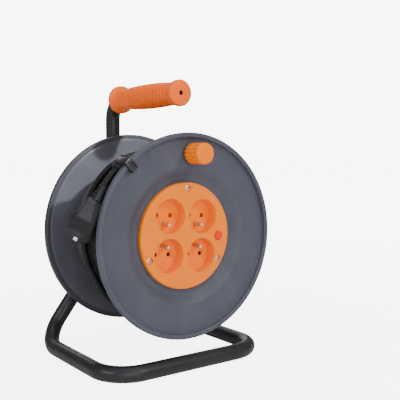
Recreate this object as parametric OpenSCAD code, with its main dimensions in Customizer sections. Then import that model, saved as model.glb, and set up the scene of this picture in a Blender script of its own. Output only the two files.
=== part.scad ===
// Extension cord reel: a two-part drum with four earthed sockets turns on an
// axle carried by a bent tube frame. The drum axis lies along Y, the sockets
// face -Y, and Z = 0 is the floor. Millimetres.

/* [Drum] */
// Diameter over the flange rims
flange_d = 240; // [232:1:248]
// Distance between the middles of the two rims
drum_w = 132; // [126:1:150]
// Diameter of the cable drum between the flanges
barrel_d = 138; // [136:1:142]
// Wall of the flanges and of the barrel
flange_t = 3; // [2:0.5:3.5]
// Thickness of the rim bead, front to back
rim_t = 8; // [6:0.5:10]
// Width of the rim bead, seen from the front
rim_w = 6; // [5:0.5:8]
// Depth of the dished middle behind the front of the flange web
dish_depth = 8; // [6:0.5:10]
// Diameter at which the web turns down into the dish
dish_d = 168; // [160:1:176]
// Turn of the drum about its axle as it stands
drum_turn = 3; // [-180:1:180]

/* [Sockets] */
// Diameter of the socket plate
plate_d = 125; // [122:1:127]
// Height of the plate's face above the bottom of the dish
plate_h = 6; // [5:0.5:8]
// Wall of the socket plate
plate_t = 3; // [2:0.5:3.5]
// Diameter of a socket recess
socket_d = 40; // [39:0.5:40.5]
// Depth of a socket recess
socket_depth = 15.5; // [14:0.5:18]
// Distance of each socket's centre from the plate's centre lines
socket_off = 23; // [22.5:0.25:23.5]
// Distance between the two contact holes
contact_pitch = 19; // [18:0.5:20]
// Diameter of a contact hole
contact_hole_d = 5.4; // [5:0.1:5.8]
// Diameter of an earth pin
earth_pin_d = 4.8; // [4.4:0.1:5.2]
// Distance of the earth pin from the line of the contact holes
earth_off = 10; // [9:0.5:11]
// Diameter of the circle of the plate's screws
screw_pcd = 112; // [111:0.5:113]
// Diameter of the reset button
button_d = 10; // [8:0.5:11]
// Height of the reset button above the plate
button_h = 2.6; // [2.2:0.1:4]
// Travel of the reset button
button_travel = 2; // [1:0.5:2]
// Travel of a socket shutter
shutter_travel = 6.4; // [6:0.1:7]

/* [Crank knob] */
// Diameter of the crank knob
knob_d = 25; // [20:1:30]
// Length of the crank knob
knob_len = 26; // [20:1:34]
// Distance of the knob's pin inside the edge of the flange
knob_inset = 24; // [22:1:26]
// Diameter of the knob's pin
knob_pin_d = 6; // [5:0.5:8]

/* [Frame] */
// Diameter of the frame tube
tube_d = 19; // [17:1:20]
// Height of the drum axis above the floor
axis_h = 156; // [150:1:170]
// Distance between the centre lines of the two side rails
rail_span = 212; // [200:2:230]
// Distance of the front rail's centre line in front of the front rim
rail_fore = 6; // [0:1:20]
// Distance of the legs' plane behind the front rim
leg_back = 172; // [167:1:180]
// Distance of the upright's axis behind the front rim
upright_back = 176; // [172:1:184]
// Height of the grip's axis above the floor
grip_h = 322; // [316:1:340]
// Bend radius of the tube's centre line under the grip
grip_bend_r = 26; // [24:1:30]
// Bend radius of the tube's centre line at the front corners
front_bend_r = 39; // [28:1:46]
// Bend radius of the tube's centre line at the foot of each leg
leg_bend_r = 36; // [28:1:44]

/* [Grip] */
// Length of the grip
grip_len = 142; // [136:1:144]
// How far the grip's collar reaches over the bend of the tube
collar_over = 7; // [5:0.5:8]
// Diameter of the grip's head and barrel
grip_d = 31; // [28:0.5:34]
// Diameter of the collar at the back of the grip
collar_d = 36; // [34:0.5:40]
// Number of grooves round the grip
grip_grooves = 13; // [5:1:14]

/* [Cable and plug] */
// Diameter of the cable
cable_d = 7.2; // [6.8:0.1:7.4]
// Radius over the full layers of the wound cable
winding_r = 96.5; // [94:0.5:98]
// Diameter of the plug's face
plug_d = 37; // [35:0.5:38]
// Diameter of the plug's two pins
plug_pin_d = 4.8; // [4:0.1:5]

/* [Hidden] */
$fn = 64;

// Clearances
seat_gap = 0.3;    // a piece beside what carries it
run_gap = 0.06;    // a shaft in its bearing, on the radius
fit_gap = 0.1;     // a fixed pin or screw in its hole, on the radius
slide_gap = 0.4;   // a sliding shutter in its guide
eps = 0.02;        // overlap of cuts with the faces that they open

// Drum: local Z runs along the axle to the front, and is 0 at the front rim
rim_r = flange_d / 2;
barrel_r = barrel_d / 2;
barrel_in_r = barrel_r - flange_t;
rear_z = -drum_w;
split_z = -drum_w / 2;
web_z = -1.6;                    // front of the web beside the rim bead
dish_r = dish_d / 2;
dish_lip_z = web_z - 1.6;        // front of the web at the edge of the dish
dish_z = dish_lip_z - dish_depth;
dish_floor_r = barrel_r - 2;     // radius of the flat bottom of the dish
ledge_r = socket_off * sqrt(2) + socket_d / 2 + 2.5;
web_back_z = dish_lip_z - flange_t;

// Socket plate
plate_r = plate_d / 2;
plate_z = dish_z + plate_h;
plate_back_z = plate_z - plate_t;
well_wall = 1.8;
well_r = socket_d / 2 + well_wall;
socket_floor_z = plate_z - socket_depth;
socket_floor_t = 2.4;
mouth_ease = 0.7;  // chamfer of a socket's mouth
hole_ease = 0.5;   // chamfer of a contact hole
well_back_z = socket_floor_z - socket_floor_t;
shutter_t = 2;
shutter_w = contact_hole_d + 1.6;
shutter_len = contact_pitch + contact_hole_d + 2;
guide_len = shutter_w / 2 + shutter_travel;
earth_root_r = earth_pin_d / 2 - 0.2; // part of an earth pin in the socket floor
contact_top_z = well_back_z - shutter_t - 2 * slide_gap;
contact_len = 13;
contact_r = contact_hole_d / 2 + 1;
link_off = 7;
strip_t = 0.8;
strip_z = contact_top_z - contact_len - strip_t;
tray_floor_z = strip_z - 2.6;
tray_t = 2;
tray_r = 52;
tray_back_z = tray_floor_z - tray_t;
SOCKETS = [[-1, 1], [1, 1], [-1, -1], [1, -1]];

// Plate screws
plate_screw_r = 1.75;
screw_head_r = 3.5;
screw_head_t = 2;
screw_sink = 2.4;
boss_r = 3.5;
boss_len = 18;

// Terminal block behind the tray
block_size = [34, 17, 14];
block_off = 26;
block_pitch = 10.5;
block_screw_r = 2.4;
block_wire_r = 1.8;

// Reset button and thermal cut-out
button_x = 47;
button_base_z = plate_back_z - 1.9;
cutout_z = button_base_z - button_travel - slide_gap;
cutout_size = [12, 15, 21];
button_stem_r = 2;
button_stem_len = 7;

// Crank knob
knob_r = rim_r - knob_inset;
knob_boss_z = 0;
knob_base_z = knob_boss_z + seat_gap;
knob_bore_depth = knob_len - 6;
pin_head_t = 0.8;

// Frame: world coordinates, with Y counted from the middle of the part
tube_r = tube_d / 2;
grip_front = upright_back - grip_bend_r + collar_over - grip_len;
tube_start = 12;   // end of the tube behind the grip's front face
sleeve_r = 17;
vent_r = 2.7;      // hole in the grip's front face
collar_play = 1.6; // room in the grip's collar for the start of the tube's bend
sleeve_back = upright_back + tube_r + 2;
sleeve_fore = leg_back - tube_r - 8;
axle_r = 8;
axle_head_t = 9;
hex_flats = 24;
back_reach = sleeve_back + seat_gap + axle_head_t;
fore_reach = knob_base_z + knob_len;
front_y = (fore_reach - back_reach) / 2;
back_y = front_y + leg_back;
upright_y = front_y + upright_back;
leg_run = 0.6;     // share of a leg's length that goes inwards
leg_rise = 0.8;    // share of a leg's length that goes up
leg_len = floor(rail_span / 2 / leg_run) - 1;

// Hub, from the frame inwards
washer_t = 2;
rear_washer_z = -sleeve_fore + seat_gap;
hub_rear_z = rear_washer_z + washer_t + seat_gap;
bush_flange_t = 2;
hub_r = 15;
bush_r = 10;
hub_tube_rear_z = hub_rear_z + bush_flange_t;
hub_tube_len = 46;
hub_tube_front_z = hub_tube_rear_z + hub_tube_len;
inner_washer_z = hub_tube_front_z + seat_gap;
nut_z = inner_washer_z + washer_t + seat_gap;
nut_t = 8;

// Drum screws that hold the two halves together
column_r = 5;
column_pos_r = barrel_in_r - column_r + 0.5;
drum_screw_r = 2;

// Winding: full layers, then a rounded shoulder and a slope down to the barrel
turn_pitch = 8;
winding_rings = 24;
winding_sides = 6;
winding_c_r = winding_r - cable_d / 2;
winding_sag = winding_c_r * (1 - cos(180 / winding_rings)); // of the stretch between two rings
core_drop = cable_d / 2 + winding_sag + seat_gap;
winding_front_z = web_back_z - cable_d / 2 - 1.4;
winding_flat = 72;
shoulder_r = 14;
slope_angle = 45;
shoulder_len = shoulder_r * slope_angle * PI / 180;
slope_top_r = winding_c_r - shoulder_r * (1 - cos(slope_angle));
slope_top_z = winding_front_z - winding_flat - shoulder_r * sin(slope_angle);
slope_len = (slope_top_r - barrel_r - core_drop) / sin(slope_angle);
winding_turns = (winding_flat + shoulder_len + slope_len) / turn_pitch;
winding_end_angle = 85;

// Inlet of the cable through the barrel
inlet_z = -24;
inlet_angle = 240;
inlet_size = [11, 18, 16];

// Rim hook
hook_angle = 137;
hook_cable_r = rim_r - 2.5;
hook_cable_z = -14;
hook_w = 9;
hook_clasp_w = 16;
hook_t = 3;

// Route of the free cable in the drum's own X, Y, Z, from the last turn
// through the rim hook to the plug. The first point is the winding's end.
TAIL = [
    [-8, 94, -11.2], [-22, 95.2, -11.6], [-37, 96.5, -12.2], [-52, 97.6, -12.9],
    [-62, 97.2, -13.4], [-71.5, 93.7, -13.8], [-79.8, 86.7, -14], [-85.9, 80.1, -14],
    [-92, 73.6, -14.2], [-95, 69.4, -16.6], [-97.5, 64.9, -18.4], [-101.1, 58.6, -18.5]
];

// Plug: centre of its face, and the turns that lay it beside the winding.
// In its own axes Z runs out of its back, and Y along the cable's exit.
PLUG_AT = [-121.5, 9.5, -32.5];
plug_tilt = -12.5;
plug_swing = 24;
plug_lean = 27.5;
plug_flange_t = 8;
plug_axis_h = 15;      // height of the cable's axis above the face
plug_back_h = 21.6;    // height of the body's back above the face
plug_base_y = -7;      // where the body's end slope rises from the face's disc
plug_crest_y = 5;      // where it reaches the back
plug_neck_y = 29.7;    // end of the body
plug_relief_y = 52.6;  // end of the strain relief
plug_pin_len = 19;

function on_circle(r, a) = [r * cos(a), r * sin(a)];
function arc(c, r, a0, a1, n) = [for (i = [0:n]) c + on_circle(r, a0 + (a1 - a0) * i / n)];

// Places the drum's own axes: its local Z runs forward along the axle
module on_drum() {
    translate([0, front_y, axis_h]) rotate([0, drum_turn, 0]) rotate([90, 0, 0]) children();
}

module tube_z(r_out, r_in, z0, z1) {
    difference() {
        translate([0, 0, z0]) cylinder(r = r_out, h = z1 - z0);
        translate([0, 0, z0 - 1]) cylinder(r = r_in, h = z1 - z0 + 2);
    }
}

module rod_z(r, z0, z1) {
    translate([0, 0, z0]) cylinder(r = r, h = z1 - z0);
}

// Chamfer of width c at the front end z of a hole of radius r
module lead_in(r, z, c) {
    translate([0, 0, z - c]) cylinder(r1 = r, r2 = r + 2 * c, h = 2 * c);
}

module box_z(w, d, z0, z1) {
    translate([-w / 2, -d / 2, z0]) cube([w, d, z1 - z0]);
}

// ---- Frame ----

function unit(v) = v / norm(v);
// Distance from a corner to the start of its bend
function corner_cut(u, v, r) = r * tan(acos(min(1, max(-1, u * v))) / 2);

// Straight tube from a to b
module straight(a, b, r) {
    d = b - a;
    ez = unit(d);
    ex = unit(abs(ez[2]) > 0.9 ? cross([0, 1, 0], ez) : cross([0, 0, 1], ez));
    ey = cross(ez, ex);
    multmatrix([
        [ex[0], ey[0], ez[0], a[0]],
        [ex[1], ey[1], ez[1], a[1]],
        [ex[2], ey[2], ez[2], a[2]],
        [0, 0, 0, 1]
    ]) cylinder(r = r, h = norm(d));
}

// Bend at corner p from direction u to direction v, with centre-line radius bend_r
module bend(p, u, v, bend_r, r) {
    start = p - u * corner_cut(u, v, bend_r);
    inward = unit(v - u * (u * v));
    ex = -inward;
    ey = u;
    ez = cross(ex, ey);
    c = start + inward * bend_r;
    multmatrix([
        [ex[0], ey[0], ez[0], c[0]],
        [ex[1], ey[1], ez[1], c[1]],
        [ex[2], ey[2], ez[2], c[2]],
        [0, 0, 0, 1]
    ]) rotate_extrude(angle = acos(u * v)) translate([bend_r, 0]) circle(r = r);
}

// Round tube along a path of corners, each with its own bend radius
module bent_tube(path, bends, r) {
    n = len(path);
    for (i = [0:n - 2]) {
        u = unit(path[i + 1] - path[i]);
        u_in = i == 0 ? u : unit(path[i] - path[i - 1]);
        u_out = i == n - 2 ? u : unit(path[i + 2] - path[i + 1]);
        from = path[i] + (i == 0 ? 0 * u : u * corner_cut(u_in, u, bends[i - 1]));
        to = path[i + 1] - (i == n - 2 ? 0 * u : u * corner_cut(u, u_out, bends[i]));
        straight(from, to, r);
        if (i < n - 2) bend(path[i + 1], u, u_out, bends[i], r);
    }
}

// Tube from inside the grip, down the back to the sleeve
module handle_tube() {
    color("#2b292c") difference() {
        bent_tube(
            [[0, front_y + grip_front + tube_start, grip_h], [0, upright_y, grip_h],
             [0, upright_y, axis_h + 6]],
            [grip_bend_r], tube_r);
        sleeve_cut();
    }
}

// One tube: left leg, left rail, front rail, right rail and right leg
module floor_loop() {
    x = rail_span / 2;
    fore_y = front_y - rail_fore;
    left_back = [-x, back_y, tube_r];
    right_back = [x, back_y, tube_r];
    color("#2b292c") difference() {
        bent_tube(
            [left_back + leg_len * [leg_run, 0, leg_rise], left_back,
             [-x, fore_y, tube_r], [x, fore_y, tube_r],
             right_back, right_back + leg_len * [-leg_run, 0, leg_rise]],
            [leg_bend_r, front_bend_r, front_bend_r, leg_bend_r], tube_r);
        sleeve_cut();
    }
}

// Room for the sleeve and its weld seam, so that each tube end is coped
module sleeve_cut() {
    translate([0, back_y, axis_h]) rotate([90, 0, 0])
        cylinder(r = sleeve_r + fit_gap, h = 60, center = true);
}

// Steel sleeve that the tubes are welded to and the axle passes through
module hub_sleeve() {
    color("#2b292c") translate([0, front_y, axis_h]) rotate([90, 0, 0])
        tube_z(sleeve_r, axle_r + fit_gap, -sleeve_back, -sleeve_fore);
}

// Profile of the grip: x is the radius and y the distance from the front face
module grip_outline() {
    r = grip_d / 2;
    c = collar_d / 2;
    waist = r - 2.2;
    polygon(concat(
        [[0, 0]],
        arc([r - 2.5, 2.5], 2.5, -90, 0, 6),
        [[r, 6], [waist, 13]],
        [for (i = [1:11]) [waist + 2 * sin(i * 15), 13 + (grip_len - 36) * i / 12]],
        [[waist - 0.6, grip_len - 20], [waist - 0.2, grip_len - 14], [c - 2.5, grip_len - 8]],
        arc([c - 2, grip_len - 5], 2, -60, 60, 6),
        [[c - 4, grip_len], [0, grip_len]]
    ));
}

// Moulded sleeve with finger grooves, closed at the front round a small hole
module grip() {
    groove_pitch = 5.5;
    groove_from = grip_len / 2 - groove_pitch * (grip_grooves - 1) / 2 + 8;
    color("#f6812d") translate([0, front_y + grip_front, grip_h]) rotate([-90, 0, 0])
        difference() {
            rotate_extrude() grip_outline();
            rod_z(tube_r + fit_gap, tube_start - 1, grip_len + 1);
            rod_z(tube_r + collar_play, grip_len - collar_over - 1, grip_len + 1);
            rod_z(vent_r, -1, tube_start);
            for (i = [0:grip_grooves - 1]) {
                translate([0, 0, groove_from + groove_pitch * i]) rotate_extrude()
                    translate([grip_d / 2 + 0.9, 0]) circle(r = 2.1, $fn = 16);
            }
        }
}

// Hexagon from z0 to z1, whose corners are turned off at its low end
module hex_z(z0, z1) {
    top_r = hex_flats / 2 + 4;
    low_r = hex_flats / 2 - 0.4;
    intersection() {
        translate([0, 0, z0]) cylinder(d = hex_flats / cos(30), h = z1 - z0, $fn = 6);
        union() {
            translate([0, 0, z0]) cylinder(r1 = low_r, r2 = top_r, h = (top_r - low_r) * tan(30));
            rod_z(top_r, z0 + (top_r - low_r) * tan(30), z1 + 1);
        }
    }
}

// Hexagon-headed axle from behind the sleeve to inside the drum
module axle_bolt() {
    head_z = -sleeve_back - seat_gap;
    color("#b9bcc2") translate([0, front_y, axis_h]) rotate([90, 0, 0]) {
        rod_z(axle_r, head_z, nut_z + nut_t + 3);
        hex_z(head_z - axle_head_t, head_z);
    }
}

module rear_thrust_washer() {
    color("#c9ccd2") translate([0, front_y, axis_h]) rotate([90, 0, 0])
        tube_z(hub_r - 1, axle_r + fit_gap, rear_washer_z, rear_washer_z + washer_t);
}

module inner_washer() {
    color("#c9ccd2") translate([0, front_y, axis_h]) rotate([90, 0, 0])
        tube_z(hub_r - 1, axle_r + fit_gap, inner_washer_z, inner_washer_z + washer_t);
}

module lock_nut() {
    color("#c9ccd2") translate([0, front_y, axis_h]) rotate([90, 0, 0]) difference() {
        mirror([0, 0, 1]) hex_z(-nut_z - nut_t, -nut_z);
        rod_z(axle_r + fit_gap, nut_z - 1, nut_z + nut_t + 1);
    }
}

// ---- Drum ----

// Rim bead, web and dish of a flange: x is the radius and y the local Z.
// The dish falls from its lip to its floor on a cosine curve.
module flange_outline(inner_r) {
    steps = 10;
    run = dish_r - dish_floor_r;
    fall = [for (i = [0:steps])
        [dish_r - run * i / steps, dish_lip_z - dish_depth * (1 - cos(180 * i / steps)) / 2]];
    back = [for (i = [steps:-1:0]) fall[i] - [0, flange_t]];
    polygon(concat(
        [[rim_r - rim_w + 1, web_z]], fall, [[inner_r, dish_z], [inner_r, dish_z - flange_t]],
        back, [[rim_r - rim_w + 1, web_z - flange_t]]
    ));
    translate([rim_r - rim_w, -rim_t / 2 + 2]) square([rim_w, rim_t - 4]);
    translate([rim_r - rim_w + 2, -rim_t / 2]) square([rim_w - 4, rim_t]);
    for (r = [rim_r - 2, rim_r - rim_w + 2], z = [-rim_t / 2 + 2, rim_t / 2 - 2]) {
        translate([r, z]) circle(r = 2, $fn = 32);
    }
}

// Front half: flange, seat of the socket plate and half of the barrel
module front_flange() {
    color("#5c5f68") on_drum() difference() {
        union() {
            rotate_extrude($fn = 128) flange_outline(ledge_r);
            tube_z(barrel_r, barrel_in_r, split_z + fit_gap, dish_z - flange_t / 2);
            for (a = [90, 210, 330]) translate(on_circle(screw_pcd / 2, a))
                rod_z(boss_r, dish_z - boss_len, dish_z);
            for (a = [30, 150, 270]) translate(on_circle(column_pos_r, a))
                rod_z(column_r, split_z + fit_gap, dish_z - flange_t / 2);
            translate(on_circle(knob_r, 90)) rod_z(8.5, web_back_z + 1, knob_boss_z);
        }
        for (a = [90, 210, 330]) translate(on_circle(screw_pcd / 2, a))
            rod_z(plate_screw_r + fit_gap, dish_z - boss_len + 2, dish_z + 1);
        for (a = [30, 150, 270]) translate(on_circle(column_pos_r, a))
            rod_z(drum_screw_r + fit_gap, split_z - 1, split_z + 28);
        translate(on_circle(knob_r, 90)) rod_z(knob_pin_d / 2 + fit_gap, web_back_z - 3, 2);
        rotate([0, 0, inlet_angle]) translate([barrel_r - 10, 0, inlet_z]) rotate([0, 90, 0])
            cylinder(d = cable_d + 1, h = 20);
    }
}

// Rear half: flange, back wall, hub and the other half of the barrel
module rear_flange() {
    wall_z = rear_z - dish_z;
    color("#4b4e57") on_drum() difference() {
        union() {
            translate([0, 0, rear_z]) mirror([0, 0, 1]) rotate_extrude($fn = 128)
                flange_outline(hub_r - 1);
            tube_z(barrel_r, barrel_in_r, wall_z + flange_t / 2, split_z - fit_gap);
            for (a = [30, 150, 270]) translate(on_circle(column_pos_r, a))
                rod_z(column_r, wall_z + flange_t / 2, split_z - fit_gap);
            rod_z(hub_r, hub_tube_rear_z, hub_tube_front_z);
            for (i = [0:5]) rotate([0, 0, 60 * i]) translate([hub_r - 1, -1.25, wall_z - 7])
                cube([dish_floor_r - hub_r - 4, 2.5, 8]);
        }
        rod_z(bush_r + fit_gap, hub_tube_rear_z - 1, hub_tube_front_z + 1);
        for (a = [30, 150, 270]) translate(on_circle(column_pos_r, a))
            rod_z(drum_screw_r + fit_gap, wall_z - 1, split_z + 1);
    }
}

// Nylon bush, flanged at the rear
module hub_bush() {
    color("#e8e4d8") on_drum() {
        tube_z(bush_r, axle_r + run_gap, hub_tube_rear_z - eps, hub_tube_front_z);
        tube_z(hub_r - 1, axle_r + run_gap, hub_rear_z, hub_tube_rear_z);
    }
}

// Three long screws from the rear that clamp the halves together
module drum_screws() {
    wall_z = rear_z - dish_z;
    color("#c9ccd2") on_drum() for (a = [30, 150, 270]) translate(on_circle(column_pos_r, a))
        difference() {
            union() {
                rod_z(drum_screw_r, wall_z - 1, split_z + 26);
                rod_z(4, wall_z - 2.6, wall_z);
            }
            rotate([0, 0, a]) box_z(5.4, 1, wall_z - 3, wall_z - 1.6);
            rotate([0, 0, a + 90]) box_z(5.4, 1, wall_z - 3, wall_z - 1.6);
        }
}

// ---- Sockets ----

module at_sockets() {
    for (s = SOCKETS) translate([s[0] * socket_off, s[1] * socket_off, 0]) children();
}

module at_contacts(side) {
    for (s = SOCKETS) translate([s[0] * socket_off + side * contact_pitch / 2, s[1] * socket_off, 0])
        children();
}

module at_earth() {
    for (s = SOCKETS) translate([s[0] * socket_off, s[1] * (socket_off - earth_off), 0]) children();
}

// Round plate with four recessed sockets, moulded in one with their wells
module socket_plate() {
    rail_x = shutter_len / 2 + slide_gap;
    color("#ff9a3c") on_drum() difference() {
        union() {
            rotate_extrude($fn = 128) polygon(concat(
                [[0, plate_back_z], [0, plate_z]],
                arc([plate_r - 2, plate_z - 2], 2, 90, 0, 6),
                [[plate_r, dish_z], [plate_r - 2.4, dish_z], [plate_r - 2.4, plate_back_z]]
            ));
            at_sockets() rod_z(well_r, well_back_z, plate_back_z + 1);
            for (a = [90, 210, 330]) translate(on_circle(screw_pcd / 2, a))
                rod_z(4.4, dish_z, plate_back_z + 1);
            translate([button_x, 0]) rod_z(7, cutout_z + seat_gap, plate_back_z + 1);
            rod_z(4.2, tray_floor_z + seat_gap, plate_back_z + 1);
            for (s = SOCKETS, side = [-1, 1])
                translate([s[0] * socket_off, s[1] * (socket_off + shutter_travel / 2), 0])
                    translate([side * (rail_x + 0.75), 0])
                        box_z(1.5, guide_len, well_back_z - shutter_t, well_back_z + 1);
        }
        at_sockets() {
            rod_z(socket_d / 2, socket_floor_z, plate_z + 1);
            lead_in(socket_d / 2, plate_z, mouth_ease);
        }
        for (side = [-1, 1]) at_contacts(side) {
            rod_z(contact_hole_d / 2, well_back_z - 4, socket_floor_z + 1);
            lead_in(contact_hole_d / 2, socket_floor_z, hole_ease);
        }
        at_earth() rod_z(earth_root_r + fit_gap, well_back_z - 1, socket_floor_z + 1);
        for (a = [90, 210, 330]) translate(on_circle(screw_pcd / 2, a)) {
            rod_z(screw_head_r + 0.4, plate_z - screw_sink, plate_z + 1);
            rod_z(plate_screw_r + 0.25, dish_z - 1, plate_z);
        }
        translate([button_x, 0]) rod_z(button_d / 2 + seat_gap, cutout_z - 1, plate_z + 1);
        translate([button_x, 0]) lead_in(button_d / 2 + seat_gap, plate_z, hole_ease);
        rod_z(plate_screw_r + fit_gap, tray_floor_z - 1, tray_floor_z + 14);
    }
}

module cross_recess(z, size, depth) {
    for (a = [0, 90]) rotate([0, 0, a]) box_z(size, size / 5, z - depth, z + 1);
}

// Pan-head screws that hold the plate in the dish
module plate_screws() {
    head_z = plate_z - screw_sink;
    color("#d5d8dd") on_drum() for (a = [90, 210, 330])
        translate(on_circle(screw_pcd / 2, a)) difference() {
            union() {
                rod_z(plate_screw_r, dish_z - boss_len + 4, head_z + 0.5);
                rod_z(screw_head_r, head_z, head_z + screw_head_t);
            }
            rotate([0, 0, a]) cross_recess(head_z + screw_head_t, 4, 1);
        }
}

// Round-nosed earth pins with a shoulder under the socket floor
module earth_pins() {
    r = earth_pin_d / 2;
    tip_z = plate_z - 0.8;
    color("#d9dade") on_drum() at_earth() rotate_extrude() polygon(concat(
        [[0, well_back_z - 1.6], [r + 1.3, well_back_z - 1.6],
         [r + 1.3, well_back_z - fit_gap], [earth_root_r, well_back_z - fit_gap],
         [earth_root_r, socket_floor_z + seat_gap], [r, socket_floor_z + seat_gap]],
        [for (p = arc([0, tip_z - r], r, 0, 90, 6)) [max(0, p[0]), p[1]]]
    ));
}

// Earth strip under the shoulders of the pins
module earth_bar() {
    z1 = well_back_z - 1.6 - fit_gap;
    z0 = z1 - strip_t;
    y = socket_off - earth_off;
    color("#c7a34a") on_drum() {
        translate([0, y]) box_z(2 * socket_off + 6, 6, z0, z1);
        for (s = [-1, 1]) translate([s * socket_off, 0]) box_z(6, 2 * y + 6, z0, z1);
    }
}

// Spring sleeves behind the holes of one pole, joined by a strip
module pole_contacts(side) {
    x0 = -socket_off + side * contact_pitch / 2;
    x1 = socket_off + side * contact_pitch / 2;
    link_y = -side * (socket_off + link_off);
    on_drum() {
        at_contacts(side) tube_z(contact_r, contact_r - 0.8, strip_z + strip_t, contact_top_z);
        for (x = [x0, x1]) {
            y0 = min(-socket_off, link_y);
            y1 = max(socket_off, link_y);
            translate([x - 2.5, y0 - 2.5, strip_z]) cube([5, y1 - y0 + 5, strip_t]);
        }
        translate([x0 - 2.5, link_y - 2.5, strip_z]) cube([x1 - x0 + 5, 5, strip_t]);
    }
}

module live_contacts() {
    color("#c98f4a") pole_contacts(-1);
}

module neutral_contacts() {
    color("#d0a050") pole_contacts(1);
}

// Insulating tray that covers the contacts from behind
module contact_tray() {
    color("#d8d5cc") on_drum() difference() {
        union() {
            tube_z(tray_r, tray_r - tray_t, tray_back_z, well_back_z - seat_gap);
            rod_z(tray_r - 1, tray_back_z, tray_floor_z);
            for (side = [-1, 1]) at_contacts(side) rod_z(2, tray_floor_z - 1, strip_z - seat_gap);
        }
        translate([button_x, 0]) box_z(cutout_size[0] + 2, cutout_size[1] + 2, tray_back_z - 1, 0);
        rod_z(plate_screw_r + 0.25, tray_back_z - 1, tray_floor_z + 1);
    }
}

module tray_screw() {
    color("#c9ccd2") on_drum() difference() {
        union() {
            rod_z(plate_screw_r, tray_back_z - 1, tray_floor_z + 12);
            rod_z(screw_head_r, tray_back_z - screw_head_t - fit_gap, tray_back_z - fit_gap);
        }
        mirror([0, 0, 1]) cross_recess(screw_head_t + fit_gap - tray_back_z, 4, 1);
    }
}

// Overload cut-out behind the plate, with a bore for the button's stem
module thermal_cutout() {
    color("#26262a") on_drum() translate([button_x, 0]) difference() {
        box_z(cutout_size[0], cutout_size[1], cutout_z - cutout_size[2], cutout_z);
        rod_z(button_stem_r + run_gap, cutout_z - button_stem_len - 2, cutout_z + 1);
    }
}

module reset_button() {
    r = button_d / 2;
    top_z = plate_z + button_h;
    color("#ee4a35") on_drum() translate([button_x, 0]) rotate_extrude() polygon(concat(
        [[0, button_base_z - button_stem_len + 1], [button_stem_r, button_base_z - button_stem_len + 1],
         [button_stem_r, button_base_z], [r, button_base_z]],
        arc([r - 1, top_z - 1], 1, 0, 90, 5),
        [[0, top_z]]
    ));
}

// Three-pole block for the inner end of the cable
module terminal_block() {
    z1 = tray_back_z - seat_gap;
    s = block_size;
    color("#e6e3da") on_drum() translate([0, -block_off, 0]) difference() {
        box_z(s[0], s[1], z1 - s[2], z1);
        for (i = [-1:1]) translate([i * block_pitch, 0, 0]) {
            rod_z(block_screw_r, z1 - s[2] - 1, z1 - s[2] / 2);
            translate([0, 0, z1 - s[2] / 2]) rotate([90, 0, 0])
                cylinder(r = block_wire_r, h = s[1] + 2, center = true);
        }
    }
}

// Clamp that holds the inner end of the cable where it enters the barrel
module inlet_clamp() {
    s = inlet_size;
    color("#3a3a3e") on_drum() rotate([0, 0, inlet_angle]) difference() {
        translate([barrel_in_r - s[0] - 1, -s[1] / 2, inlet_z - s[2] / 2]) cube(s);
        translate([barrel_in_r - 2 * s[0], 0, inlet_z]) rotate([0, 90, 0])
            cylinder(d = cable_d + 0.4, h = 3 * s[0]);
    }
}

// One plate that closes both contact holes of a socket from behind
module shutter(s) {
    color("#d9541e") on_drum() translate([s[0] * socket_off, s[1] * socket_off, 0])
        box_z(shutter_len, shutter_w, well_back_z - slide_gap - shutter_t, well_back_z - slide_gap);
}

module shutter_top_left() {
    shutter(SOCKETS[0]);
}

module shutter_top_right() {
    shutter(SOCKETS[1]);
}

module shutter_bottom_left() {
    shutter(SOCKETS[2]);
}

module shutter_bottom_right() {
    shutter(SOCKETS[3]);
}

// ---- Crank knob ----

module knob_pin() {
    head_z = web_back_z - seat_gap - pin_head_t;
    color("#c9ccd2") on_drum() translate(on_circle(knob_r, 90)) {
        rod_z(knob_pin_d / 2, head_z, knob_base_z + knob_bore_depth - 1);
        rod_z(6, head_z, head_z + pin_head_t);
    }
}

// Fluted knob with a rounded end, on a blind bore
module crank_knob() {
    r = knob_d / 2;
    flutes = 16;
    end_r = 3.5;
    color("#ff8f30") on_drum() translate([0, knob_r, knob_base_z]) difference() {
        rotate_extrude() polygon(concat(
            [[0, 0], [r - 2, 0], [r - 0.6, 1.5]],
            arc([r - end_r, knob_len - end_r], end_r, 0, 90, 8),
            [[0, knob_len]]
        ));
        for (i = [0:flutes - 1]) rotate([0, 0, 360 * i / flutes])
            translate([r + 0.6, 0]) rod_z(1.3, -1, knob_len - end_r - 1);
        rod_z(knob_pin_d / 2 + run_gap, -1, knob_bore_depth);
    }
}

// ---- Rim hook ----

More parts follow.
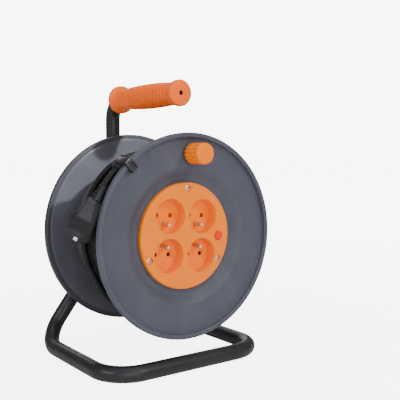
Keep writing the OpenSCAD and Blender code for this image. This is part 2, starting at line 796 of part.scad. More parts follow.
// Clip over the rim of the front flange, with a clasp round the cable
module rim_hook() {
    clear = seat_gap;
    top_r = hook_cable_r + cable_d / 2 + hook_t + 0.4;
    front = rim_t / 2 + clear;
    back_z = hook_cable_z - cable_d / 2 - hook_t;
    color("#2a2a2e") on_drum() rotate([0, 0, hook_angle]) difference() {
        union() {
            rotate([90, 0, 0]) linear_extrude(hook_w, center = true) polygon([
                [rim_r - 12, front], [rim_r - 12, front + 1.5], [rim_r - 10.5, front + hook_t],
                [top_r - 1.5, front + hook_t], [top_r, front + hook_t - 1.5],
                [top_r, -front - 1], [rim_r + clear, -front - 1], [rim_r + clear, front],
                [rim_r - rim_w - clear, front], [rim_r - rim_w - clear, web_z + clear],
                [rim_r - 10.5, web_z + clear], [rim_r - 12, web_z + 1.5]
            ]);
            translate([hook_cable_r, 0, hook_cable_z]) rotate([90, 0, 0])
                cylinder(r = cable_d / 2 + hook_t, h = hook_clasp_w, center = true);
            translate([rim_r + clear, -hook_w / 2, hook_cable_z]) cube([
                top_r - rim_r - clear, hook_w, -front - hook_cable_z]);
        }
        translate([hook_cable_r, 0, hook_cable_z]) rotate([90, 0, 0])
            cylinder(r = cable_d / 2 + 0.4, h = hook_clasp_w + 2, center = true);
        for (i = [-2:2]) translate([hook_cable_r, i * 3, hook_cable_z]) rotate([90, 0, 0])
            difference() {
                cylinder(r = 12, h = 1.2, center = true);
                cylinder(r = cable_d / 2 + hook_t - 0.9, h = 4, center = true);
                translate([-12, -12 - cable_d, -2]) cube([24, 12, 4]);
            }
    }
}

// ---- Cable ----

// Centre line of the winding at a length s along its profile: [radius, local Z]
function profile_at(s) =
    let (t = s - winding_flat, u = t - shoulder_len, a = t / shoulder_r * 180 / PI)
    t <= 0 ? [winding_c_r, winding_front_z - s]
    : u <= 0 ? [winding_c_r - shoulder_r * (1 - cos(a)),
                winding_front_z - winding_flat - shoulder_r * sin(a)]
    : [slope_top_r - u * sin(slope_angle), slope_top_z - u * cos(slope_angle)];

// Inner layers of the cable as one plain core under the outer turns
module cable_core() {
    low_r = barrel_r + seat_gap;
    slope_r = slope_top_r - core_drop * cos(slope_angle);
    slope_z = slope_top_z + core_drop * sin(slope_angle);
    shoulder = [winding_c_r - shoulder_r, winding_front_z - winding_flat];
    color("#232326") on_drum() rotate_extrude($fn = 96) polygon(concat(
        [[low_r, dish_z - flange_t - 0.5], [dish_floor_r + 4, dish_z - flange_t - 0.5],
         [dish_r, web_back_z - 0.6], [winding_c_r - core_drop, web_back_z - 0.6]],
        arc(shoulder, shoulder_r - core_drop, 0, -slope_angle, 4),
        [[low_r, slope_z - (slope_r - low_r) / tan(slope_angle)]]
    ));
}

// Point of the winding's centre line at step k, counted from the front end
function winding_point(k) =
    let (s = turn_pitch * k / winding_rings,
         p = profile_at(s),
         a = winding_end_angle - 360 * k / winding_rings)
    [p[0] * cos(a), p[0] * sin(a), p[1]];

winding_steps = floor(winding_turns * winding_rings);
winding_first = winding_point(0);
winding_lead = [-sin(winding_end_angle), cos(winding_end_angle), 0];
winding_last = winding_point(winding_steps);
winding_tail = let (a = winding_end_angle - 360 * winding_steps / winding_rings)
    [sin(a), -cos(a), 0];
WINDING = concat(
    [winding_first + cable_d * winding_lead],
    [for (k = [0:winding_steps]) winding_point(k)],
    [winding_last + cable_d * winding_tail]
);

// Least gap between neighbouring turns, measured on the centre line's points
winding_gap = min([
    for (i = [0:len(WINDING) - winding_rings + 1], j = [i + winding_rings - 2:i + winding_rings + 2])
        if (j < len(WINDING)) norm(WINDING[i] - WINDING[j])
]) - cable_d;
echo(winding_turns = winding_turns, winding_gap = winding_gap);

// Swept tube of n sides along points, with its ends square to their neighbours
module sweep(points, r, sides) {
    n = len(points);
    dirs = [for (i = [0:n - 1])
        unit((i == n - 1 ? points[i] : points[i + 1]) - (i == 0 ? points[i] : points[i - 1]))];
    axis = [0, 0, 1];
    rings = [for (i = [0:n - 1])
        let (ex = unit(cross(axis, dirs[i])), ey = cross(dirs[i], ex))
        for (k = [0:sides - 1])
            points[i] + r * cos(360 * k / sides) * ex + r * sin(360 * k / sides) * ey];
    walls = [for (i = [0:n - 2], k = [0:sides - 1])
        let (a = i * sides + k, b = i * sides + (k + 1) % sides)
        each [[a, a + sides, b + sides], [a, b + sides, b]]];
    caps = [for (k = [1:sides - 2]) each [
        [0, k, k + 1],
        [(n - 1) * sides, (n - 1) * sides + k + 1, (n - 1) * sides + k]
    ]];
    polyhedron(rings, concat(walls, caps));
}

// Outer turns of the wound cable, as one unbroken spiral
module cable_winding() {
    color("#2c2c30") on_drum() sweep(WINDING, cable_d / 2, winding_sides);
}

// Free end of the cable, from the last turn through the hook to the plug
module cable_tail() {
    route = concat([WINDING[0] + seat_gap * winding_lead], TAIL);
    color("#2c2c30") on_drum() sweep(route, cable_d / 2, 8);
}

// ---- Plug ----

module on_plug() {
    on_drum() translate(PLUG_AT) rotate([0, -plug_swing, 0]) rotate([plug_tilt, 0, 0])
        rotate([0, 0, -plug_lean]) children();
}

// Side view of the body that stands on the disc: x is the plug's Y and y its Z
module plug_side() {
    r = plug_d / 2;
    polygon([
        [plug_base_y, plug_flange_t - 1], [plug_base_y, plug_flange_t],
        [plug_crest_y, plug_back_h], [plug_neck_y, plug_back_h - 0.6],
        [plug_neck_y, plug_axis_h - 6], [r + 2, plug_flange_t - 2], [r - 2, plug_flange_t - 2]
    ]);
}

// Plan of the same body, narrower towards the cable
module plug_plan() {
    polygon([
        [-11, plug_base_y - 1], [11, plug_base_y - 1], [10, plug_crest_y], [8.2, plug_neck_y],
        [-8.2, plug_neck_y], [-10, plug_crest_y]
    ]);
}

// Round face with the earth pin's hole and two notches for the earth strips,
// and the body on its back
module plug_body() {
    r = plug_d / 2;
    color("#333338") on_plug() difference() {
        union() {
            rotate_extrude() polygon([
                [0, 0], [r - 1, 0], [r, 1], [r, plug_flange_t - 2], [r - 2, plug_flange_t],
                [0, plug_flange_t]
            ]);
            intersection() {
                rotate([90, 0, 90]) linear_extrude(24, center = true) plug_side();
                linear_extrude(plug_back_h + 1) plug_plan();
            }
        }
        for (s = [-1, 1]) translate([0, s * (r + 0.4)]) box_z(9, 6, -1, plug_flange_t - 2.5);
        translate([0, earth_off, 0]) rod_z(earth_pin_d / 2 + seat_gap, -1, plug_axis_h);
    }
}

// Two round pins
module plug_pins() {
    r = plug_pin_d / 2;
    color("#d9dade") on_plug() for (x = [-1, 1]) translate([x * contact_pitch / 2, 0, 0])
        rotate_extrude() polygon(concat(
            [[0, -fit_gap], [r, -fit_gap]],
            [for (p = arc([0, r - plug_pin_len], r, 0, -90, 6)) [max(0, p[0]), p[1]]]
        ));
}

// Spring earth strips in the two edge notches
module plug_earth_clips() {
    r = plug_d / 2;
    color("#d9dade") on_plug() for (s = [-1, 1])
        translate([0, s * (r - 1.9)]) box_z(6, 1.2, 0.5, plug_flange_t - 2.5 - fit_gap);
}

// Ribbed strain relief between the plug and the cable
module plug_relief() {
    from = plug_neck_y + fit_gap;
    len = plug_relief_y - from;
    rib_pitch = len / 6;
    color("#333338") on_plug() translate([0, from, plug_axis_h]) rotate([-90, 0, 0]) difference() {
        cylinder(r1 = 6.6, r2 = 4.9, h = len);
        for (i = [0:4]) translate([0, 0, rib_pitch * (i + 0.7)]) difference() {
            box_z(20, 20, 0, rib_pitch * 0.45);
            box_z(3, 20, -1, rib_pitch);
            rod_z(4.2, -1, rib_pitch);
        }
    }
}

handle_tube();
floor_loop();
hub_sleeve();
grip();
axle_bolt();
rear_thrust_washer();
inner_washer();
lock_nut();
front_flange();
rear_flange();
hub_bush();
drum_screws();
socket_plate();
plate_screws();
earth_pins();
earth_bar();
live_contacts();
neutral_contacts();
contact_tray();
tray_screw();
thermal_cutout();
terminal_block();
inlet_clamp();
knob_pin();
rim_hook();
cable_core();
cable_winding();
cable_tail();
plug_body();
plug_relief();
plug_pins();
plug_earth_clips();
crank_knob();
reset_button();
shutter_top_left();
shutter_top_right();
shutter_bottom_left();
shutter_bottom_right();
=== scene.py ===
import math

import bmesh
import bpy
import numpy as np
from mathutils import Matrix, Vector
from mathutils.geometry import delaunay_2d_cdt


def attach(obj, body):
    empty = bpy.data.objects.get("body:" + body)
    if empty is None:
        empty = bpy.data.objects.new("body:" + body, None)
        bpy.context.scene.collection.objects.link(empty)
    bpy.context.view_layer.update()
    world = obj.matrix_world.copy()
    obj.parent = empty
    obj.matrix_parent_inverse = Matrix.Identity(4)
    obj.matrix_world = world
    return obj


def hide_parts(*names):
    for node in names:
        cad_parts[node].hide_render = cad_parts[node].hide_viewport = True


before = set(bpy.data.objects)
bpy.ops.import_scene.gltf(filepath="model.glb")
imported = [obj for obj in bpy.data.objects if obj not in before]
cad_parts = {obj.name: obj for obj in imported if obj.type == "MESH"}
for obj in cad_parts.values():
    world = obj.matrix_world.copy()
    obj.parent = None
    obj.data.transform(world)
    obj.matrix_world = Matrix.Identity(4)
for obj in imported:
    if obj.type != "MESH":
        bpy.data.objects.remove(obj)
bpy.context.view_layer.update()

# ---- Standing place of the reel ----
# The reel stands on its tube frame with the sockets facing -Y. Everything on
# the drum is laid out in the drum's own axes: X and Y across the flanges and Z
# forward along the axle, from the middle of the front rim, in millimetres.
MM = 0.001
AXLE_HEIGHT = 156.0
FRONT_RIM_Y = -85.25
DRUM_TURN = math.radians(3.0)


def swung(p, angle):
    """Points turned by an angle about their third axis."""
    p = np.asarray(p, float)
    c, s = math.cos(angle), math.sin(angle)
    return np.stack([p[..., 0] * c - p[..., 1] * s, p[..., 0] * s + p[..., 1] * c,
                     p[..., 2]], axis=-1)


def on_axle(p):
    """Points round the fixed axle in the row frame: Z is laid along -Y and Y
    upwards from the axle's height, in metres."""
    p = np.asarray(p, float)
    return MM * np.stack([p[..., 0], FRONT_RIM_Y - p[..., 2], AXLE_HEIGHT + p[..., 1]], axis=-1)


def on_drum(p):
    """Points of the drum's axes in the row frame: a small turn about the axle,
    then the axle's own place."""
    return on_axle(swung(p, -DRUM_TURN))


# ---- Camera ----
# It stands at the front left, a little above the middle of the drum, so that
# the sockets, both flanges and the cord between them show.
def placed(name, data):
    """A new object in the scene that holds a mesh, a lamp or a camera."""
    made = bpy.data.objects.new(name, data)
    bpy.context.scene.collection.objects.link(made)
    return made


camera = placed("camera", bpy.data.cameras.new("camera"))
camera.data.sensor_width = 36.0
camera.data.lens = 60.87
camera.data.shift_x = 0.0272
camera.data.shift_y = 0.0150
camera.location = (-0.4562, -0.7155, 0.2546)
swing, rise = math.radians(-35.9), math.radians(4.64)
backwards = Vector((math.sin(swing) * math.cos(rise), -math.cos(swing) * math.cos(rise),
                    math.sin(rise)))
camera.rotation_mode = "QUATERNION"
camera.rotation_quaternion = (-backwards).to_track_quat("-Z", "Y")
bpy.context.scene.camera = camera

# ---- Cable ----
# Three-core flexible cord with a smooth extruded PVC sheath, 7.2 mm thick. It
# enters the barrel behind the front flange and lies in four layers that run
# back and forth; the last turn leaves for the rim hook and ends in the plug.
CABLE_D, CABLE_SIDES = 7.2, 12
# Layers from the barrel outwards: radius, depth at the start and at the end
LAYERS = [(72.6, -17.9, -106.5), (79.4, -99.8, -13.6), (86.1, -11.6, -93.2), (92.9, -86.4, -11.2)]
INNER_PITCH, OUTER_PITCH, CHANGE_TURNS = 7.25, 8.0, 0.35
POINTS_A_TURN = 60
END_ANGLE = math.radians(85.0)
# Away from both ends the turns wander a little, in depth and in height
CALM_TURNS, WANDER_DEPTH, WANDER_HEIGHT = 0.6, 0.17, 0.16
# The first bit dips into the barrel, the last lifts off to the loose turn
DIP, DIP_TURNS, LIFT, LIFT_TURNS = 6.5, 0.14, 1.7, 0.09


def smooth_step(t):
    """0 before 0, 1 after 1, and 3t^2 - 2t^3 between."""
    t = np.clip(t, 0.0, 1.0)
    return t * t * (3 - 2 * t)


def grid_of(x, y, z):
    """Points from three coordinates that are spread over each other's rows
    and columns."""
    return np.stack(np.broadcast_arrays(x, y, z), axis=-1)


def polar(radius, angle, depth):
    """Points at a radius and an angle about the axle, at a depth."""
    return grid_of(radius * np.cos(angle), radius * np.sin(angle), depth)


def wound(layers):
    """Centre line of the layers as (turns, radius, depth). The depth grows
    evenly along a layer. Between two layers the cord climbs and then steps
    back at the rear, or closes up to the flange and then climbs at the front."""
    knots = []
    turns = 0.0
    for layer, (radius, start, end) in enumerate(layers):
        pitch = OUTER_PITCH if layer == len(layers) - 1 else INNER_PITCH
        knots.append((turns, radius, start))
        turns += abs(end - start) / pitch
        knots.append((turns, radius, end))
        turns += CHANGE_TURNS
    knots = np.array(knots)
    t = np.linspace(0, knots[-1, 0], int(knots[-1, 0] * POINTS_A_TURN))
    k = np.clip(np.searchsorted(knots[:, 0], t, side="right") - 1, 0, len(knots) - 2)
    share = (t - knots[k, 0]) / (knots[k + 1, 0] - knots[k, 0])
    soon, late = smooth_step(1.6 * share), smooth_step(1.6 * share - 0.6)
    climb = np.choose(k % 4, [share, soon, share, late])
    shift = np.choose(k % 4, [share, late, share, soon])
    return (t, knots[k, 1] + climb * (knots[k + 1, 1] - knots[k, 1]),
            knots[k, 2] + shift * (knots[k + 1, 2] - knots[k, 2]))


turns, wound_r, depth = wound(LAYERS)
from_end = turns[-1] - turns
free = smooth_step(from_end / CALM_TURNS) * smooth_step(turns / CALM_TURNS)
depth = depth + free * WANDER_DEPTH * np.sin(2.37 * turns) * np.cos(0.83 * turns + 1.0)
wound_r = wound_r + free * WANDER_HEIGHT * np.sin(3.71 * turns + 0.4)
wound_r = (wound_r - DIP * smooth_step(1 - turns / DIP_TURNS)
           + LIFT * smooth_step(1 - from_end / LIFT_TURNS))
winding = polar(wound_r, END_ANGLE - 2 * np.pi * from_end, depth)

# A loose turn leaves the last layer at the top: it rises past the rim hook,
# drops behind the plug and hangs slack under the drum. Degrees round the axle,
# radius and depth.
LOOSE = np.array([
    [93, 96.7, -12.5], [101, 99.7, -15.2], [109, 102.9, -19.3], [117, 106.5, -23.6],
    [126, 111, -28], [133, 114.3, -31.5], [139, 116, -36], [145, 114.8, -42.5],
    [151, 112.2, -49], [156.5, 109.7, -54.5], [162.5, 107.2, -59.5], [171, 104.4, -63.5],
    [182, 102.4, -65.5], [200, 101.7, -65], [225, 102.6, -62], [250, 104.3, -57.5],
    [275, 104.6, -52], [300, 103.4, -46], [325, 102.2, -39.5], [350, 101.8, -33],
    [375, 101.6, -26.5], [400, 101.5, -20.5], [420, 101.5, -16.5], [435, 101.7, -14.2],
    [445, 102.2, -13.2], [452, 104.2, -12.6], [460, 106.3, -12.0], [468, 107.6, -11.4],
    [475, 108.8, -11.2], [482, 110.6, -11.3]])
# From there through the hook's clasp into the plug's strain relief
TAIL = np.array([
    [-69, 90, -12.2], [-76.7, 87.6, -13.2], [-81.8, 84.5, -13.8], [-85.9, 80.1, -14],
    [-92, 73.6, -14.5], [-95, 69.4, -16.0], [-97.6, 64.7, -17.6], [-101.1, 58.6, -18.5],
    [-104.4, 52.9, -18.6]])
CURVE_STEPS = 10


def through(points, steps):
    """Smooth curve through points: on each stretch a cubic whose slope at a
    point is half the way between that point's two neighbours."""
    p = np.concatenate([[2 * points[0] - points[1]], points, [2 * points[-1] - points[-2]]])
    t = np.linspace(0, 1, steps, endpoint=False)[:, None]
    made = [0.5 * (2 * p[i] + (p[i + 1] - p[i - 1]) * t
                   + (2 * p[i - 1] - 5 * p[i] + 4 * p[i + 1] - p[i + 2]) * t ** 2
                   + (3 * p[i] - p[i - 1] - 3 * p[i + 1] + p[i + 2]) * t ** 3)
            for i in range(1, len(p) - 2)]
    return np.concatenate(made + [points[-1:]])


loose = polar(LOOSE[:, 1], np.radians(LOOSE[:, 0]), LOOSE[:, 2])
leading = through(np.concatenate([winding[-2:], loose, TAIL]), CURVE_STEPS)[CURVE_STEPS:]
route = on_drum(np.concatenate([winding[:-1], leading]))


def unit(v):
    """Directions brought to a length of 1."""
    return v / np.linalg.norm(v, axis=-1, keepdims=True)


def all_round(sides):
    """Angles in equal steps round a whole turn."""
    return np.linspace(0, 2 * np.pi, sides, endpoint=False)


def ringed(line, radius, ex, ey, sides):
    """A circle about each point of a line: cos of the angle along the first
    direction and sin of it along the second."""
    a = all_round(sides)[:, None]
    return line[:, None] + radius * (np.cos(a) * ex[:, None] + np.sin(a) * ey[:, None])


def swept(path, radius, sides, up):
    """Round tube: at each point of the path a circle stands square to the
    path's direction, its first axis along (up x direction). Each end closes
    on its own centre."""
    along = unit(np.gradient(path, axis=0))
    ex = unit(np.cross(up, along))
    return np.concatenate([np.repeat(path[:1, None], sides, axis=1),
                           ringed(path, radius, ex, np.cross(along, ex), sides),
                           np.repeat(path[-1:, None], sides, axis=1)])


def skin(points):
    """A grid of points as (vertices, faces): quads between neighbouring rows
    and columns, the last column joined to the first."""
    rows, columns = points.shape[:2]
    row = np.arange(rows - 1)[:, None] * columns
    here = np.arange(columns)[None, :]
    after = (here + 1) % columns
    faces = np.stack([row + here, row + after, row + columns + after, row + columns + here],
                     axis=-1)
    return points.reshape(-1, 3), faces.reshape(-1, 4)


def build(name, shells, material, body, sharp=35.0, along_uv=None):
    """One object from shells of (vertices, faces) in metres. Doubled points
    are merged, the closed shells' normals turned outwards, and edges sharper
    than the given angle kept as creases. It rides on the named body."""
    start, points, faces = 0, [], []
    for vertices, polygons in shells:
        points.append(np.asarray(vertices, float).reshape(-1, 3))
        faces += [[int(i) + start for i in polygon] for polygon in polygons]
        start += len(points[-1])
    mesh = bpy.data.meshes.new(name)
    mesh.from_pydata(np.concatenate(points).tolist(), [], faces)
    if along_uv is not None:
        layer = mesh.uv_layers.new(name="along")
        vertex_of = np.zeros(len(mesh.loops), np.int32)
        mesh.loops.foreach_get("vertex_index", vertex_of)
        layer.data.foreach_set("uv", along_uv[vertex_of].astype(np.float32).ravel())
    work = bmesh.new()
    work.from_mesh(mesh)
    bmesh.ops.remove_doubles(work, verts=work.verts, dist=2e-6)
    bmesh.ops.dissolve_degenerate(work, edges=work.edges, dist=1e-7)
    bmesh.ops.recalc_face_normals(work, faces=work.faces)
    work.to_mesh(mesh)
    work.free()
    mesh.shade_smooth()
    mesh.set_sharp_from_angle(angle=math.radians(sharp))
    mesh.materials.append(material)
    made = placed(name, mesh)
    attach(made, body)
    return made


def add(material, kind, sockets=(), **settings):
    """One shader node of a material. A socket's value is a number, a colour
    or another node's output; settings are the node's own properties."""
    tree = material.node_tree
    made = tree.nodes.new("ShaderNode" + kind)
    for key, value in settings.items():
        setattr(made, key, value)
    for key, value in dict(sockets).items():
        if isinstance(value, bpy.types.NodeSocket):
            tree.links.new(value, made.inputs[key])
        else:
            made.inputs[key].default_value = value
    return made


def finish_of(name, fixed):
    """An empty material with its shader; fixed holds the values that are the
    same all over. Returns (material, shader, object coordinates)."""
    material = bpy.data.materials.new(name)
    material.use_nodes = True
    shader = material.node_tree.nodes["Principled BSDF"]
    for key, value in fixed.items():
        shader.inputs[key].default_value = value
    return material, shader, add(material, "TexCoord").outputs["Object"]


def connect(material, shader, **outputs):
    """Links node outputs to the shader's sockets; an underscore is a space."""
    for key, value in outputs.items():
        material.node_tree.links.new(value, shader.inputs[key.replace("_", " ")])


def mapped(material, place, **settings):
    """Coordinates moved, turned or stretched: Location, Rotation, Scale."""
    return add(material, "Mapping", {"Vector": place, **settings}).outputs["Vector"]


def ranged(material, value, low, high, low_to=0.0, high_to=1.0):
    """A value with its range from low to high stretched to low_to and high_to."""
    return add(material, "MapRange", {"Value": value, "From Min": low, "From Max": high,
                                      "To Min": low_to, "To Max": high_to}).outputs["Result"]


def spread_noise(material, place, scale, detail, low, high, low_to=0.0, high_to=1.0):
    """Noise of a scale, with its values from low to high stretched to low_to
    and high_to."""
    noise = add(material, "TexNoise", {"Vector": place, "Scale": scale, "Detail": detail,
                                       "Roughness": 0.55})
    return ranged(material, noise.outputs["Fac"], low, high, low_to, high_to)


def product(material, first, second):
    """Two values multiplied."""
    return add(material, "Math", {0: first, 1: second}, operation="MULTIPLY").outputs[0]


def mixed(material, share, first, second):
    """A colour from first to second by a share; each is a colour or a node's
    output."""
    one, two = (c if isinstance(c, bpy.types.NodeSocket) else (*c, 1) for c in (first, second))
    return add(material, "MixRGB", {"Fac": share, "Color1": one, "Color2": two}).outputs["Color"]


def bumped(material, strength, depth, height, **below):
    """Bump of a height pattern, laid over another bump given as Normal."""
    return add(material, "Bump", {"Strength": strength, "Distance": depth, "Height": height,
                                  **below}).outputs["Normal"]


# Semi-matt black sheath: drawn lines along the cord, dull patches and dust
sheath, shader, place = finish_of("cable_sheath", {"IOR": 1.5, "Specular IOR Level": 0.22})
strip = mapped(sheath, add(sheath, "UVMap", uv_map="along").outputs["UV"], Scale=(26.0, 9.0, 1.0))
drawn = spread_noise(sheath, strip, 3.0, 3.0, 0.3, 0.7)
dust = spread_noise(sheath, place, 46.0, 6.0, 0.46, 0.74)
rub = spread_noise(sheath, place, 190.0, 4.0, 0.35, 0.7, 0.33, 0.56)
grain = spread_noise(sheath, place, 2600.0, 2.0, 0.3, 0.7)
connect(sheath, shader, Roughness=rub,
        Base_Color=mixed(sheath, dust, (0.0060, 0.0058, 0.0075), (0.0135, 0.0130, 0.0145)),
        Normal=bumped(sheath, 0.2, 0.00006, grain, Normal=bumped(sheath, 0.25, 0.0002, drawn)))

run = np.concatenate([[0.0], np.cumsum(np.linalg.norm(np.diff(route, axis=0), axis=1))])
ring_run = np.concatenate([run[:1], run, run[-1:]])
around = np.abs(np.linspace(-1, 1, CABLE_SIDES, endpoint=False))
cable = build("cable", [skin(swept(route, CABLE_D / 2 * MM, CABLE_SIDES, up=(0.0, -1.0, 0.0)))],
              sheath, "drum", sharp=60,
              along_uv=np.stack(np.broadcast_arrays(around, ring_run[:, None]), -1).reshape(-1, 2))
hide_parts("cable_core", "cable_winding", "cable_tail")

# ---- Plug ----
# French earthed plug moulded onto the cord in black PVC: a round face with a
# notch for each earth strip in its edge, and a hand grip that slopes up from
# the face. It hangs beside the winding from the rim hook.
PLUG_FACE = np.array([-121.5, 9.5, -32.5])
PLUG_TURNS = [("Y", -24.0), ("X", -12.5), ("Z", -27.5)]
PLUG_R, BACK_EDGE_Z, PLUG_BACK_Z = 18.5, 4.3, 8.4
NOTCH_R, NOTCH_HALF = 15.6, 15.5
HAND_BACK, HAND_END = -7.0, 29.6
plug_turn = np.eye(3)
for axis, degrees in PLUG_TURNS:
    plug_turn = plug_turn @ np.array(Matrix.Rotation(math.radians(degrees), 3, axis))


def on_plug(p):
    """Points of the plug's axes in the row frame: X across the pins, Y along
    the cord's exit and Z out of the back of its face."""
    return on_drum(np.asarray(p, float) @ plug_turn.T + PLUG_FACE)


def turned(profile, sides):
    """A profile of (radius, height) carried round the Z axis."""
    profile = np.asarray(profile, float)
    return polar(profile[:, :1], all_round(sides), profile[:, 1:])


def corner(x, y, r, start, end, steps=6):
    """Points of a rounded corner: an arc of radius r about (x, y)."""
    a = np.radians(np.linspace(start, end, steps + 1))
    return np.stack([x + r * np.cos(a), y + r * np.sin(a)], axis=1)


def moulded(name, colour, pale, rough, grain_size, grain_depth, rub_share=0.5, specular=0.5):
    """Moulded plastic: its colour drifts a little over 40 mm, fine grain of the
    given size in metres gives the bump, and handling leaves smoother patches
    and a few pale hair scratches."""
    material, shader, place = finish_of(name, {"IOR": 1.5, "Specular IOR Level": specular})
    drift = spread_noise(material, place, 24.0, 4.0, 0.3, 0.7)
    hair = mapped(material, place, Scale=(60.0, 950.0, 950.0), Rotation=(0.5, 0.3, 0.7))
    scratch = spread_noise(material, hair, 1.0, 2.0, 0.70, 0.78)
    worn = [min(1.0, 1.5 * c + 0.03) for c in pale]
    tone = mixed(material, product(material, scratch, 0.35),
                 mixed(material, drift, colour, pale), worn)
    rub = spread_noise(material, place, 70.0, 5.0, 0.3, 0.7, rough * (1 - 0.4 * rub_share),
                       rough * 1.25)
    grain = spread_noise(material, place, 1.0 / grain_size, 2.0, 0.25, 0.75)
    sink = bumped(material, 0.12, 0.0012, spread_noise(material, place, 55.0, 2.0, 0.2, 0.8))
    connect(material, shader, Base_Color=tone, Roughness=rub,
            Normal=bumped(material, 0.55, grain_depth, grain, Normal=sink))
    return material


plug_black = moulded("plug_black", (0.012, 0.012, 0.014), (0.019, 0.019, 0.022), 0.45, 0.0007,
                     0.00006, specular=0.18)
disc = turned(np.concatenate([
    [[0, 0]], corner(PLUG_R - 1, 1, 1, -90, 0), corner(PLUG_R - 1.2, BACK_EDGE_Z, 1.2, 0, 66),
    [[10.0, PLUG_BACK_Z], [0, PLUG_BACK_Z]]]), 120)
bearing = np.abs(np.degrees(np.arctan2(disc[..., 1], disc[..., 0])))
disc_r = np.hypot(disc[..., 0], disc[..., 1])
in_notch = (smooth_step(NOTCH_HALF - np.abs(bearing - 90))
            * (disc[..., 2] < BACK_EDGE_Z + 0.4))
disc[..., :2] *= (1 - in_notch * np.clip(disc_r - NOTCH_R, 0, None)
                  / np.maximum(disc_r, 1))[..., None]

# Hand grip: rounded sections across Y whose top follows the slope and back
hand_y = np.concatenate([[HAND_BACK], np.linspace(HAND_BACK, HAND_END, 74), [HAND_END]])
hand_top = np.interp(hand_y, [HAND_BACK, -6, 4.2, 5.8, HAND_END], [8.4, 9.4, 20.9, 21.6, 21.0])
hand_low = np.interp(hand_y, [HAND_BACK, 16.5, 20.5, HAND_END], [6.4, 6.4, 6.4, 9.0])
hand_half = np.interp(hand_y, [HAND_BACK, 5, HAND_END], [12.4, 11.9, 10.0])
hand_half = hand_half - 0.5 * smooth_step(1 - np.abs(hand_y - 16) / 9)
closing = 1 - 0.12 * smooth_step((hand_y - 27.8) / 1.8)
closing[[0, -1]] = 0.0
a = all_round(64)
box_x = np.sign(np.cos(a)) * np.abs(np.cos(a)) ** 0.2
box_z = np.sign(np.sin(a)) * np.abs(np.sin(a)) ** 0.2
hand_grip = grid_of(
    box_x * (hand_half * closing)[:, None], hand_y[:, None],
    ((hand_top + hand_low) / 2)[:, None] + box_z * ((hand_top - hand_low) / 2 * closing)[:, None])
plug_body = build("plug_body_moulded", [skin(on_plug(disc)), skin(on_plug(hand_grip))],
                  plug_black, "drum", sharp=24)
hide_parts("plug_body")

# ---- Strain relief ----
# The moulding's tapered tail round the cord, cut by slots on each side of a
# thin spine so that the cord bends in an even curve.
RELIEF_FROM, RELIEF_TO, SLOTS = 29.8, 48.0, 6
CORD_H, RELIEF_CORE, RELIEF_BORE = 15.0, 4.3, 3.75
WIDE_FROM, WIDE_TO, TALL_FROM, TALL_TO = 8.6, 5.0, 6.4, 4.9
SQUARENESS = 3.2
t = np.linspace(0, 1, 139)[:, None]
a = all_round(48)
slot_phase = (t * (SLOTS + 0.9) - 0.6) % 1.0
in_slot = smooth_step((0.25 - np.abs(slot_phase - 0.25)) / 0.04) * (t > 0.08) * (t < 0.95)
cut = in_slot * smooth_step((np.abs(np.cos(a)) - 0.26) / 0.08)
squared = (np.abs(np.cos(a)) ** SQUARENESS + np.abs(np.sin(a)) ** SQUARENESS) ** (-1 / SQUARENESS)
out_x = (WIDE_FROM + (WIDE_TO - WIDE_FROM) * t) * squared * np.cos(a)
out_z = (TALL_FROM + (TALL_TO - TALL_FROM) * t) * squared * np.sin(a)
relief = grid_of(out_x + (RELIEF_CORE * np.cos(a) - out_x) * cut,
                 RELIEF_FROM + t * (RELIEF_TO - RELIEF_FROM),
                 CORD_H + out_z + (RELIEF_CORE * np.sin(a) - out_z) * cut)
back, end = [grid_of(RELIEF_BORE * np.cos(a), y, CORD_H + RELIEF_BORE * np.sin(a))[None]
             for y in (RELIEF_FROM, RELIEF_TO)]
plug_relief = build("plug_relief_ribbed",
                    [skin(on_plug(np.concatenate([back, relief, end, back])))], plug_black,
                    "drum", sharp=30)
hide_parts("plug_relief")

# ---- Plug pins and earth strips ----
# Two round pins and two spring strips of nickel-plated brass. Each strip lies
# in its notch of the plug's edge and is folded over the back.
STRIP_HALF, STRIP_T = 2.2, 1.0


def plated(name, colour, rough, brushed, stain=0.25):
    """Plated or bare metal: polishing lines stretched along one direction, and
    a thin stain that darkens and dulls it in patches."""
    material, shader, place = finish_of(name, {"Metallic": 1.0})
    polish = spread_noise(material, mapped(material, place, Scale=brushed), 1400.0, 3.0, 0.3, 0.7)
    patch = spread_noise(material, place, 130.0, 5.0, 0.45, 0.8)
    tone = mixed(material, product(material, patch, stain), colour, [0.45 * c for c in colour])
    dull = spread_noise(material, place, 220.0, 4.0, 0.3, 0.75, rough * 0.7, rough * 1.6)
    connect(material, shader, Base_Color=tone, Roughness=dull,
            Normal=bumped(material, 0.15, 0.00004, polish))
    return material


def dress(node, material):
    """Gives a CAD piece, whose shape stays, its material. Returns the piece."""
    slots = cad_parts[node].data.materials
    slots.clear()
    slots.append(material)
    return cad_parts[node]


nickel = plated("nickel_plate", (0.80, 0.80, 0.79), 0.30, (1.0, 0.15, 1.0))
plug_pins = dress("plug_pins", nickel)
strip_line = np.array([
    [-0.2, 0.6], [0.0, 0.4], [STRIP_T, 0.4], [STRIP_T, BACK_EDGE_Z + 0.2],
    [2.6, BACK_EDGE_Z + 1.4], [4.2, BACK_EDGE_Z + 2.1], [3.9, BACK_EDGE_Z + 2.9],
    [2.2, BACK_EDGE_Z + 2.3], [0.4, BACK_EDGE_Z + 1.3], [-0.2, BACK_EDGE_Z + 0.4]])
strip_middle = strip_line.mean(axis=0)
strip_shells = []
for side in (-1, 1):
    rows = []
    for share, x in [(0, -STRIP_HALF), (1, -STRIP_HALF), (1, STRIP_HALF), (0, STRIP_HALF)]:
        line = strip_middle + share * (strip_line - strip_middle)
        rows.append(grid_of(x, side * (PLUG_R - 0.9 - line[:, 0]), line[:, 1]))
    strip_shells.append(skin(on_plug(np.stack(rows))))
earth_strips = build("plug_earth_strips", strip_shells, nickel, "drum", sharp=30)
